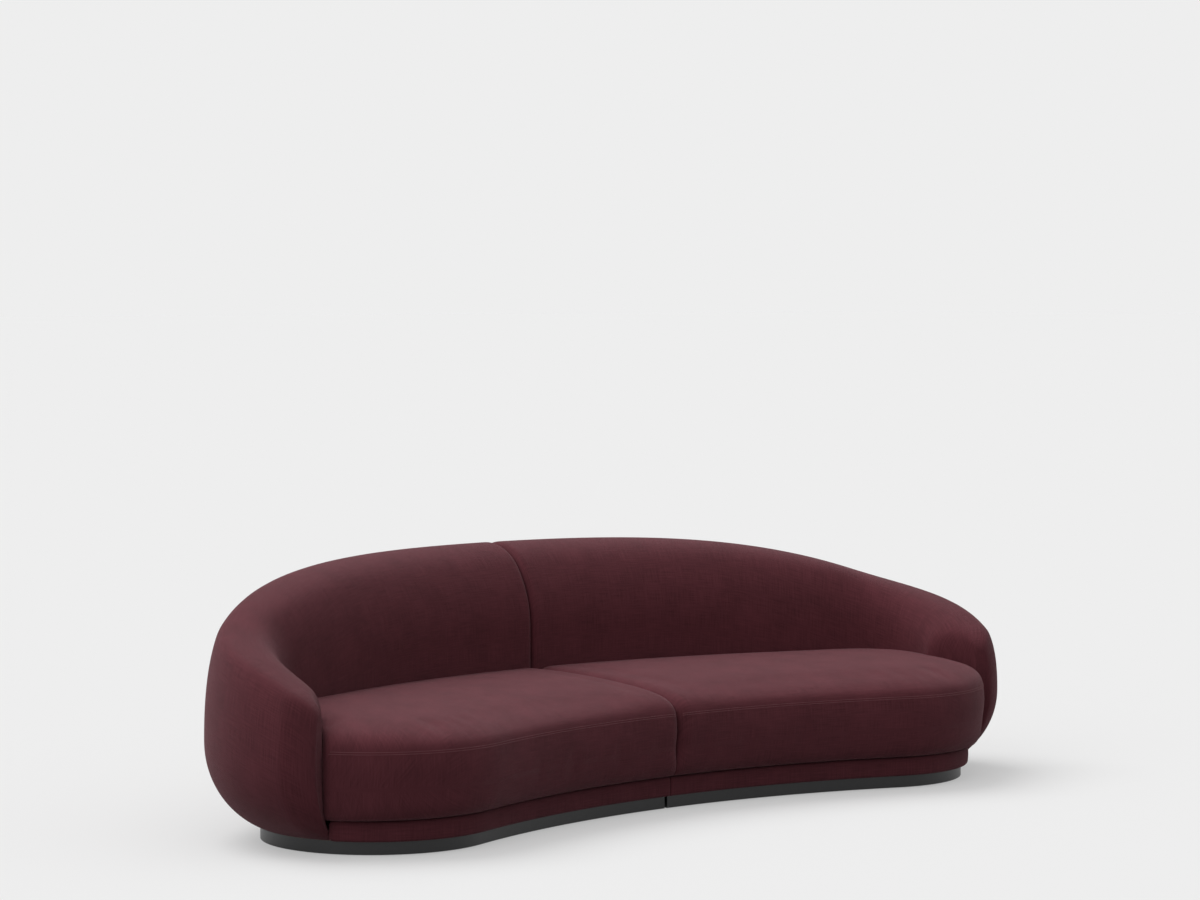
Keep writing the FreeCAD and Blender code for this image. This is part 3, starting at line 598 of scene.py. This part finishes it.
def seat_section(share, tuck=0.0):
    """The closed outline of the seat on the line across it at a share of its length from the seam.

    A tuck draws the front edge and the crown in, as at the seat's end beside the arm.
    """
    front, _ = seat_plan.from_seam_in_front(share * SEAT_FRONT_LENGTH)
    back, _ = seat_wall.from_seam_behind(share * SEAT_BACK_LENGTH)
    width = np.linalg.norm(back - front)
    across = (back - front) / width
    limit = width - SEAT_BACK_ROUND
    top = crown_line[crown_line[:, 0] < limit]
    end_height = np.interp(limit, crown_line[:, 0], crown_line[:, 1])
    top = spread(np.concatenate([top, [(limit, end_height)]]), CROWN_COUNT)
    centre = (limit, end_height - SEAT_BACK_ROUND)
    corner = arc_points(centre, SEAT_BACK_ROUND, math.pi / 2, 0.0, SEAT_CORNER_COUNT)
    wall = spread(np.concatenate([corner, [(width, RAIL_TOP + CLEARANCE)]]), BACK_COUNT)
    bottom = spread([(width, RAIL_TOP + CLEARANCE), SEAT_SIDE[0]], BOTTOM_COUNT)
    line = np.concatenate([side_line[:-1], top[:-1], wall[:-1], bottom[:-1]])
    line[:, 0] = tuck + line[:, 0] * (1 - tuck / width)
    line[:, 1] -= TUCK_FALL * tuck * (line[:, 1] - RAIL_TOP) / (STITCH_HEIGHT - RAIL_TOP)
    flat = front + np.outer(line[:, 0], across)
    return np.column_stack([flat, line[:, 1]])


def ring_in(ring, inset):
    """A closed ring at the seam, shrunk by inset in its own plane."""
    step = np.roll(ring, -1, axis=0) - np.roll(ring, 1, axis=0)
    step /= np.maximum(np.linalg.norm(step, axis=1, keepdims=True), TINY)
    inward = np.column_stack([np.zeros(len(ring)), step[:, 2], -step[:, 1]])
    middle = ring.mean(axis=0)
    side = np.sign(np.sum((middle - ring) * inward))
    return ring + side * inward * inset


def make_seat(name):
    """The seat of the right half, crowned, with drawn-in sides, settled as cloth on its free rows."""
    builder = Builder()
    rows = []
    seam = seat_section(0.0)
    for depth, inset in edge_places(SEAT_SEAM_ROUND, SEAT_SEAM_ROWS):
        row = faded(seam, ring_in(seam, inset * SEAT_SEAM_DRAW), RAIL_TOP)
        row[:, 0] = HALF_GAP + depth
        rows.append(row)
    first = SEAT_SEAM_ROUND / SEAT_FRONT_LENGTH
    last = 1 - SEAT_CORNER_ROUND / SEAT_FRONT_LENGTH
    rows += [seat_section(share) for share in np.linspace(first, last, SEAT_ROWS)[1:]]
    for depth, tuck in edge_places(SEAT_CORNER_ROUND, SEAT_END_ROWS)[::-1][1:]:
        depth = max(depth, CLEARANCE)
        rows.append(seat_section(1 - depth / SEAT_FRONT_LENGTH, tuck))
    rows = [np.roll(row, -(SIDE_COUNT // 2), axis=0) for row in rows]
    numbers = builder.grid(rows, True)
    builder.cap(rows[0], numbers[0])
    builder.cap(rows[-1], numbers[-1])
    seat = builder.make(name, False)
    free = set()
    stitch = SIDE_COUNT - 1 - SIDE_COUNT // 2
    wall = stitch + CROWN_COUNT
    for line in numbers[HELD_AT_SEAM:-HELD_AT_ARM]:
        free.update(line[:stitch - HELD_UNDER_STITCH])
        free.update(line[stitch + HELD_OVER_STITCH:wall - HELD_AT_WALL])
        free.update(line[-(SIDE_COUNT // 2 - HELD_AT_WALL):])
    relax(seat, free)
    subdivide(seat)
    return seat


def relax(seat, free):
    """Lets the cloth of the seat settle over its filling. Every point outside the free ones is held."""
    before = np.array([v.co[:] for v in seat.data.vertices])
    held = seat.vertex_groups.new(name="held")
    held.add([v.index for v in seat.data.vertices if v.index not in free], 1.0, "REPLACE")
    modifier = seat.modifiers.new("cloth", "CLOTH")
    settings = modifier.settings
    settings.vertex_group_mass = "held"
    settings.quality = CLOTH_QUALITY
    settings.mass = CLOTH_MASS
    settings.tension_stiffness = CLOTH_STRETCH
    settings.compression_stiffness = CLOTH_STRETCH
    settings.bending_stiffness = CLOTH_BEND
    settings.use_pressure = True
    settings.uniform_pressure_force = CLOTH_PRESSURE
    settings.shrink_min = -CLOTH_SLACK
    settings.effector_weights.gravity = 0.0
    modifier.collision_settings.use_collision = False
    modifier.point_cache.frame_start = 1
    modifier.point_cache.frame_end = CLOTH_FRAMES
    scene = bpy.context.scene
    for step in range(1, CLOTH_FRAMES + 1):
        scene.frame_set(step)
    settled = seat.evaluated_get(bpy.context.evaluated_depsgraph_get())
    after = np.array([v.co[:] for v in settled.to_mesh().vertices])
    settled.to_mesh_clear()
    scene.frame_set(1)
    seat.modifiers.clear()
    seat.vertex_groups.clear()
    move = after - before
    length = np.linalg.norm(move, axis=1, keepdims=True)
    move *= CLOTH_REACH * np.tanh(length / CLOTH_REACH) / np.maximum(length, TINY)
    seat.data.vertices.foreach_set("co", (before + move).astype(np.float32).ravel())
    seat.data.update()


def mirrored(obj, name):
    """A copy on the other side of the seam, with its faces turned the right way out."""
    mesh = obj.data.copy()
    mesh.name = name
    places = np.zeros(3 * len(mesh.vertices), np.float32)
    mesh.vertices.foreach_get("co", places)
    places[0::3] *= -1
    mesh.vertices.foreach_set("co", places)
    mesh.flip_normals()
    mesh.update()
    return link_as_it_is(name, mesh)


def stitch_line(tree, height):
    """Points on the seat along its seam, each with the surface's direction, at a height near it."""
    line = []
    for share in np.linspace(STITCH_START, STITCH_END, STITCH_STEPS):
        front, out = seat_plan.from_seam_in_front(share * SEAT_FRONT_LENGTH)
        x, y = front - out * STITCH_DEPTH
        place, normal, _, _ = tree.find_nearest(Vector((x, y + PLAN_Y, height)))
        line.append((*(place + normal * THREAD_LIFT), *normal))
    return np.array(line)


def stitch_rings(along, line, start):
    """The rings of points of one stitch, whose two ends dip into the cloth."""
    def at(distance, first):
        return np.array([np.interp(distance, along, line[:, first + k]) for k in range(3)])

    rings = []
    for t in np.linspace(0.0, 1.0, STITCH_RINGS):
        distance = start + STITCH_LENGTH * t
        point = at(distance, 0)
        normal = at(distance, 3)
        normal /= np.linalg.norm(normal)
        side = np.cross(at(distance + THREAD_STEP, 0) - at(distance - THREAD_STEP, 0), normal)
        side /= np.linalg.norm(side)
        end = (2 * t - 1) ** 2
        size = THREAD_RADIUS * math.sqrt(max(1 - end, THREAD_TIP))
        sunk = point - normal * THREAD_RADIUS * THREAD_SINK * end ** 2
        angles = np.linspace(0, 2 * math.pi, THREAD_SIDES + 1)[:-1]
        rings.append([sunk + size * (math.cos(a) * side + math.sin(a) * normal) for a in angles])
    return rings


def make_stitches(name, seat):
    """Two lines of thread along the seam between the seat's side and its top."""
    places = [v.co[:] for v in seat.data.vertices]
    tree = BVHTree.FromPolygons(places, [tuple(face.vertices) for face in seat.data.polygons])
    points = []
    faces = []
    for shift in (-STITCH_ROWS / 2, STITCH_ROWS / 2):
        line = stitch_line(tree, STITCH_HEIGHT + shift)
        steps = np.linalg.norm(np.diff(line[:, :3], axis=0), axis=1)
        along = np.concatenate([[0.0], np.cumsum(steps)])
        for start in np.arange(0.0, along[-1] - STITCH_LENGTH, STITCH_PITCH):
            base = len(points)
            for ring in stitch_rings(along, line, start):
                points += [tuple(point) for point in ring]
            for low in range(base, base + (STITCH_RINGS - 1) * THREAD_SIDES, THREAD_SIDES):
                for j in range(THREAD_SIDES):
                    k = (j + 1) % THREAD_SIDES
                    faces.append((low + j, low + k, low + THREAD_SIDES + k, low + THREAD_SIDES + j))
            faces.append(tuple(range(base + THREAD_SIDES - 1, base - 1, -1)))
            faces.append(tuple(range(len(points) - THREAD_SIDES, len(points))))
    mesh = bpy.data.meshes.new(name)
    mesh.from_pydata(points, [], faces)
    return link(name, mesh)


# Upholstered rail under the seat

def rail_section(distance):
    """The closed outline of the rail's padded cloth strip, in its own plane."""
    point, out = plinth.from_seam_in_front(distance)
    low = PANEL_BOTTOM + CLEARANCE
    high = RAIL_TOP
    corner = RAIL_REACH - RAIL_ROUND
    bottom = arc_points((corner, low + RAIL_ROUND), RAIL_ROUND, -math.pi / 2, 0.0, RAIL_CORNER_COUNT)
    top = arc_points((corner, high - RAIL_ROUND), RAIL_ROUND, 0.0, math.pi / 2, RAIL_CORNER_COUNT)
    swell = [(RAIL_REACH + RAIL_SWELL * math.sin(t), mix(bottom[-1][1], top[0][1], t / math.pi))
             for t in np.linspace(0, math.pi, RAIL_FACE_COUNT)[1:-1]]
    inside = [(CLEARANCE, z) for z in np.linspace(high, low, RAIL_INSIDE_COUNT)]
    line = np.concatenate([bottom, swell, top, inside])
    flat = point + np.outer(line[:, 0], out)
    return np.column_stack([flat, line[:, 1]])


def make_rail(name, mirror):
    """The narrow padded rail that shows between the plinth and the seat, with closed ends."""
    builder = Builder()
    length = plinth.front_length() + plinth.tip * (math.pi - plinth.front_turn - ARM_ANGLE) - CLEARANCE
    rows = []
    for depth, inset in edge_places(RAIL_END_ROUND, RAIL_END_ROWS):
        row = ring_in(rail_section(0.0), inset)
        row[:, 0] = HALF_GAP + depth
        rows.append(row)
    rows += [rail_section(d) for d in np.linspace(HALF_GAP + RAIL_END_ROUND, length, RAIL_ROWS)[1:]]
    numbers = builder.grid(rows, True)
    builder.fan(rows[0], numbers[0])
    builder.fan(rows[-1], numbers[-1])
    obj = builder.make(name, mirror)
    subdivide(obj)
    return obj


# Materials

# Wine red of the cloth, and its threads and slubs in metres and per metre
WINE = (0.118, 0.0295, 0.0385)
CLOTH_DARK = 0.76
CLOTH_LIGHT = 1.24
THREAD_PITCH = 0.0013
SLUB_ALONG = 14.0
SLUB_ACROSS = 330.0
CLOUD_SCALE = 9.0
CLOUD_SHARE = 0.4
FUZZ_SCALE = 1500.0
WEAVE_TONE = 0.06
WEAVE_RELIEF = 0.5
NAP_RELIEF = 0.00035
NAP_STRENGTH = 0.55
CLOTH_ROUGHNESS = (0.80, 0.92)

# Middle range of a noise
NOISE_LOW = 0.3
NOISE_HIGH = 0.7

# Plain surfaces: the fine grain's scale and share, and how strongly it shows as relief
FINE_SCALE = 7.0
FINE_SHARE = 0.3
GRAIN_STRENGTH = 0.6
LAYER_DARK = 0.55

# Grain that is alike in all directions
EVEN = (1.0, 1.0, 1.0)


def material(name):
    made = bpy.data.materials.new(name)
    made.use_nodes = True
    nodes = made.node_tree.nodes
    nodes.clear()
    return made, nodes, made.node_tree.links


def principled(nodes, links, **sockets):
    """A shader whose sockets are given by name, with spaces written as underscores."""
    out = nodes.new("ShaderNodeOutputMaterial")
    shader = nodes.new("ShaderNodeBsdfPrincipled")
    for name, value in sockets.items():
        shader.inputs[name.replace("_", " ")].default_value = value
    links.new(shader.outputs[0], out.inputs[0])
    return shader


def maths(nodes, links, operation, *values):
    """One operation on up to three values, each a socket or a number."""
    node = nodes.new("ShaderNodeMath")
    node.operation = operation
    for socket, value in zip(node.inputs, values):
        if isinstance(value, (int, float)):
            socket.default_value = value
        else:
            links.new(value, socket)
    return node.outputs[0]


def noise(nodes, links, place, stretch, scale, detail=2.0):
    """Noise whose pattern is stretched along the axes of its place."""
    mapping = nodes.new("ShaderNodeMapping")
    mapping.inputs["Scale"].default_value = stretch
    links.new(place, mapping.inputs["Vector"])
    texture = nodes.new("ShaderNodeTexNoise")
    texture.inputs["Scale"].default_value = scale
    texture.inputs["Detail"].default_value = detail
    links.new(mapping.outputs[0], texture.inputs["Vector"])
    return texture.outputs[0]


def spread_of(nodes, links, value, low, high):
    """Maps the middle range of a noise to another range."""
    ramp = nodes.new("ShaderNodeMapRange")
    ramp.inputs["From Min"].default_value = NOISE_LOW
    ramp.inputs["From Max"].default_value = NOISE_HIGH
    ramp.inputs["To Min"].default_value = low
    ramp.inputs["To Max"].default_value = high
    links.new(value, ramp.inputs["Value"])
    return ramp.outputs[0]


def blend_colours(nodes, links, share, dark, light):
    mixer = nodes.new("ShaderNodeMix")
    mixer.data_type = "RGBA"
    colours = [socket for socket in mixer.inputs if socket.type == "RGBA"]
    colours[0].default_value = (*dark, 1.0)
    colours[1].default_value = (*light, 1.0)
    links.new(share, mixer.inputs[0])
    return [socket for socket in mixer.outputs if socket.type == "RGBA"][0]


def bump(nodes, links, height, distance, strength, shader):
    node = nodes.new("ShaderNodeBump")
    node.inputs["Distance"].default_value = distance
    node.inputs["Strength"].default_value = strength
    links.new(height, node.inputs["Height"])
    links.new(node.outputs[0], shader.inputs["Normal"])


def upholstery():
    """Fine plain weave in wine red, with slubs along both threads, soft clouds and a short nap."""
    made, nodes, links = material("wine_cloth")
    shader = principled(
        nodes, links, Sheen_Weight=0.16, Sheen_Roughness=0.4, Sheen_Tint=(1.0, 0.72, 0.76, 1.0),
        Specular_IOR_Level=0.2,
    )
    flat = nodes.new("ShaderNodeUVMap")
    flat.uv_map = "cloth"
    split = nodes.new("ShaderNodeSeparateXYZ")
    links.new(flat.outputs[0], split.inputs[0])
    waves = []
    for axis in ("X", "Y"):
        turn = maths(nodes, links, "MULTIPLY", split.outputs[axis], 2 * math.pi / THREAD_PITCH)
        waves.append(maths(nodes, links, "SINE", turn))
    weave = maths(nodes, links, "MULTIPLY", waves[0], waves[1])
    across = noise(nodes, links, flat.outputs[0], (SLUB_ALONG, SLUB_ACROSS, 1.0), 1.0)
    along = noise(nodes, links, flat.outputs[0], (SLUB_ACROSS, SLUB_ALONG, 1.0), 1.0)
    slubs = maths(nodes, links, "ADD", across, along)
    clouds = noise(nodes, links, flat.outputs[0], EVEN, CLOUD_SCALE, 3.0)
    fuzz = noise(nodes, links, flat.outputs[0], EVEN, FUZZ_SCALE, 1.0)
    # The two noises of the slubs add up to about 1, so 0.5 is taken off to have the middle at 0.5
    tone = maths(nodes, links, "MULTIPLY_ADD", weave, WEAVE_TONE, -0.5)
    tone = maths(nodes, links, "ADD", tone, slubs)
    tone = maths(nodes, links, "ADD", maths(nodes, links, "MULTIPLY", tone, 1 - CLOUD_SHARE),
                 maths(nodes, links, "MULTIPLY", clouds, CLOUD_SHARE))
    share = spread_of(nodes, links, tone, 0.0, 1.0)
    dark = tuple(CLOTH_DARK * c for c in WINE)
    light = tuple(CLOTH_LIGHT * c for c in WINE)
    links.new(blend_colours(nodes, links, share, dark, light), shader.inputs["Base Color"])
    links.new(spread_of(nodes, links, slubs, *CLOTH_ROUGHNESS), shader.inputs["Roughness"])
    height = maths(nodes, links, "ADD", maths(nodes, links, "MULTIPLY", weave, WEAVE_RELIEF),
                   maths(nodes, links, "ADD", slubs, fuzz))
    bump(nodes, links, height, NAP_RELIEF, NAP_STRENGTH, shader)
    return made


def textured(name, dark, light, stretch, scale, roughness, grain, metal=0.0):
    """A hard or plain surface with its own grain: colour, gloss and relief follow one stretched noise."""
    made, nodes, links = material(name)
    shader = principled(nodes, links, Metallic=metal)
    place = nodes.new("ShaderNodeTexCoord").outputs["Object"]
    coarse = noise(nodes, links, place, stretch, scale, 4.0)
    fine = noise(nodes, links, place, stretch, scale * FINE_SCALE, 2.0)
    both = maths(nodes, links, "ADD", maths(nodes, links, "MULTIPLY", coarse, 1 - FINE_SHARE),
                 maths(nodes, links, "MULTIPLY", fine, FINE_SHARE))
    share = spread_of(nodes, links, both, 0.0, 1.0)
    links.new(blend_colours(nodes, links, share, dark, light), shader.inputs["Base Color"])
    links.new(spread_of(nodes, links, fine, *roughness), shader.inputs["Roughness"])
    bump(nodes, links, fine, grain, GRAIN_STRENGTH, shader)
    return made


def plywood(name, dark, light, ply):
    """Wood grain with thin dark and pale layers that show on the edges."""
    made = textured(name, dark, light, (3.0, 60.0, 3.0), 4.0, (0.5, 0.7), 0.0003)
    nodes = made.node_tree.nodes
    links = made.node_tree.links
    shader = [node for node in nodes if node.type == "BSDF_PRINCIPLED"][0]
    place = nodes.new("ShaderNodeTexCoord").outputs["Object"]
    split = nodes.new("ShaderNodeSeparateXYZ")
    links.new(place, split.inputs[0])
    turn = maths(nodes, links, "MULTIPLY", split.outputs["Z"], math.pi / ply)
    wave = maths(nodes, links, "SINE", turn)
    layer = spread_of(nodes, links, maths(nodes, links, "MULTIPLY_ADD", wave, 0.5, 0.5), LAYER_DARK, 1.0)
    shade = nodes.new("ShaderNodeMix")
    shade.data_type = "RGBA"
    shade.blend_type = "MULTIPLY"
    shade.inputs[0].default_value = 1.0
    colours = [socket for socket in shade.inputs if socket.type == "RGBA"]
    links.new(shader.inputs["Base Color"].links[0].from_socket, colours[0])
    grey = nodes.new("ShaderNodeCombineColor")
    for socket in grey.inputs:
        links.new(layer, socket)
    links.new(grey.outputs[0], colours[1])
    result = [socket for socket in shade.outputs if socket.type == "RGBA"][0]
    links.new(result, shader.inputs["Base Color"])
    return made


cloth = upholstery()

# Each surface: its name, dark and pale colour, the grain's stretch and scale, roughness, relief and metal
FINISHES = {
    "plinth_satin": textured(
        "black_satin", (0.006, 0.006, 0.007), (0.010, 0.010, 0.011),
        EVEN, 60.0, (0.34, 0.46), 0.00006),
    "block_timber": textured(
        "block_wood", (0.36, 0.24, 0.13), (0.56, 0.41, 0.25),
        (3.0, 45.0, 3.0), 4.0, (0.55, 0.75), 0.0004),
    "frame_timber": textured(
        "frame_wood", (0.42, 0.28, 0.15), (0.62, 0.46, 0.28),
        (2.0, 40.0, 40.0), 3.0, (0.5, 0.7), 0.0004),
    "panel_plywood": plywood("panel_layers", (0.48, 0.35, 0.20), (0.66, 0.52, 0.34), 0.003),
    "rib_plywood": plywood("rib_layers", (0.50, 0.37, 0.22), (0.68, 0.54, 0.36), 0.003),
    "back_fibreboard": textured(
        "pressed_board", (0.26, 0.17, 0.10), (0.40, 0.28, 0.17), EVEN, 240.0, (0.7, 0.85), 0.0002),
    "webbing": textured(
        "webbing_weave", (0.030, 0.026, 0.023), (0.085, 0.072, 0.062),
        (1.0, 60.0, 1.0), 9.0, (0.75, 0.9), 0.0004),
    "dust_cloth": textured(
        "dust_cloth", (0.016, 0.016, 0.016), (0.036, 0.036, 0.036),
        EVEN, 320.0, (0.8, 0.95), 0.0003),
    "seat_foam": textured(
        "cut_foam", (0.62, 0.56, 0.42), (0.80, 0.75, 0.60), EVEN, 380.0, (0.85, 0.95), 0.0010),
    "steel": textured(
        "zinc_steel", (0.42, 0.42, 0.44), (0.62, 0.62, 0.63),
        (2.0, 60.0, 2.0), 12.0, (0.28, 0.42), 0.00005, 1.0),
    "glide_plastic": textured(
        "moulded_plastic", (0.030, 0.030, 0.031), (0.045, 0.045, 0.046),
        EVEN, 500.0, (0.42, 0.55), 0.00008),
    "upholstery": cloth,
}
slots = {row["node"]: row["material_slot"] for row in frame["record"]["subparts"]}

for node, obj in frame["nodes"].items():
    obj.data.materials.clear()
    obj.data.materials.append(FINISHES[slots[node]])

thread = textured(
    "wine_thread", (0.24, 0.085, 0.10), (0.34, 0.14, 0.155), EVEN, 900.0, (0.5, 0.65), 0.0001)
right_seat = make_seat("right_seat")
right_seat.data.materials.append(cloth)
right_stitches = make_stitches("right_stitches", right_seat)
right_stitches.data.materials.append(thread)
seats = {"right": right_seat, "left": mirrored(right_seat, "left_seat")}
threads = {"right": right_stitches, "left": mirrored(right_stitches, "left_stitches")}

for side, mirror in (("left", True), ("right", False)):
    body = side + "_module"
    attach(threads[side], body)
    back = make_back(side + "_back", mirror)
    back.data.materials.append(cloth)
    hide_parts(side + "_back_cover")
    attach(back, body)
    seat = seats[side]
    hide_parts(side + "_seat_cover")
    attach(seat, body)
    rail = make_rail(side + "_rail", mirror)
    rail.data.materials.append(cloth)
    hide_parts(side + "_base_rail")
    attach(rail, body)

# Stage, light and camera

PALE = 0.855
HORIZON = 0.06
ZENITH = 0.78
FLOOR_BOUNCE = 0.20
FLOOR_LIFT = 0.45
FLOOR_HALF = 150.0
SENSOR_WIDTH = 36.0
LENS = 99.67
CLIP_END = 500.0
EYE = (-6.3004, -7.5410, 1.5055)
TARGET = (-0.0099, -0.0692, 1.0309)

# Name, share of the light, then tilt from straight above, heading and width in degrees
LAMPS = (
    ("key_softbox", 0.40, 32.0, 112.0, 45.0),
    ("left_softbox", 0.06, 62.0, 190.0, 50.0),
)


def camera_or_other(nodes, links, seen, other):
    """Mixes two shaders: one that the camera, a mirror or glass shows, one for the rest of the light."""
    path = nodes.new("ShaderNodeLightPath")
    choice = path.outputs["Is Camera Ray"]
    for kind in ("Is Glossy Ray", "Is Transmission Ray"):
        choice = maths(nodes, links, "MAXIMUM", choice, path.outputs[kind])
    mixer = nodes.new("ShaderNodeMixShader")
    links.new(choice, mixer.inputs[0])
    links.new(other, mixer.inputs[1])
    links.new(seen, mixer.inputs[2])
    return mixer.outputs[0]


def make_floor():
    mesh = bpy.data.meshes.new("floor")
    corners = [(x * FLOOR_HALF, y * FLOOR_HALF, 0) for x, y in ((-1, -1), (1, -1), (1, 1), (-1, 1))]
    mesh.from_pydata(corners, [], [(0, 1, 2, 3)])
    obj = link_as_it_is("floor", mesh)
    made, nodes, links = material("floor_paint")
    out = nodes.new("ShaderNodeOutputMaterial")
    shaders = []
    for level in (PALE * (1 - FLOOR_LIFT), FLOOR_BOUNCE):
        shader = nodes.new("ShaderNodeBsdfDiffuse")
        shader.inputs["Color"].default_value = (level, level, level, 1.0)
        shaders.append(shader.outputs[0])
    lift = nodes.new("ShaderNodeEmission")
    lift.inputs["Color"].default_value = (PALE, PALE, PALE, 1.0)
    lift.inputs["Strength"].default_value = FLOOR_LIFT
    both = nodes.new("ShaderNodeAddShader")
    links.new(shaders[0], both.inputs[0])
    links.new(lift.outputs[0], both.inputs[1])
    links.new(camera_or_other(nodes, links, both.outputs[0], shaders[1]), out.inputs[0])
    mesh.materials.append(made)


def make_world():
    world = bpy.data.worlds.new("studio")
    bpy.context.scene.world = world
    world.use_nodes = True
    nodes = world.node_tree.nodes
    links = world.node_tree.links
    nodes.clear()
    out = nodes.new("ShaderNodeOutputWorld")
    place = nodes.new("ShaderNodeTexCoord")
    split = nodes.new("ShaderNodeSeparateXYZ")
    links.new(place.outputs["Generated"], split.inputs[0])
    ramp = nodes.new("ShaderNodeMapRange")
    ramp.inputs["To Min"].default_value = HORIZON
    ramp.inputs["To Max"].default_value = ZENITH
    links.new(split.outputs["Z"], ramp.inputs["Value"])
    light = nodes.new("ShaderNodeBackground")
    light.inputs["Color"].default_value = (1.0, 1.0, 1.0, 1.0)
    links.new(ramp.outputs[0], light.inputs["Strength"])
    seen = nodes.new("ShaderNodeBackground")
    seen.inputs["Color"].default_value = (PALE, PALE, PALE, 1.0)
    seen.inputs["Strength"].default_value = 1.0
    links.new(camera_or_other(nodes, links, seen.outputs[0], light.outputs[0]), out.inputs[0])


def make_lamps():
    for name, share, tilt, heading, width in LAMPS:
        tilt = math.radians(tilt)
        heading = math.radians(heading)
        lamp = bpy.data.lights.new(name, "SUN")
        lamp.energy = share * math.pi / math.cos(tilt)
        lamp.angle = math.radians(width)
        obj = link_as_it_is(name, lamp)
        towards = Vector((
            math.sin(tilt) * math.cos(heading), math.sin(tilt) * math.sin(heading), math.cos(tilt),
        ))
        obj.rotation_euler = towards.to_track_quat("Z", "Y").to_euler()


def make_camera():
    camera = bpy.data.cameras.new("camera")
    camera.sensor_width = SENSOR_WIDTH
    camera.lens = LENS
    camera.clip_end = CLIP_END
    obj = link_as_it_is("camera", camera)
    obj.location = EYE
    obj.rotation_euler = (Vector(TARGET) - Vector(EYE)).to_track_quat("-Z", "Y").to_euler()
    bpy.context.scene.camera = obj


make_floor()
make_world()
make_lamps()
make_camera()
bpy.context.scene.view_settings.view_transform = "Standard"
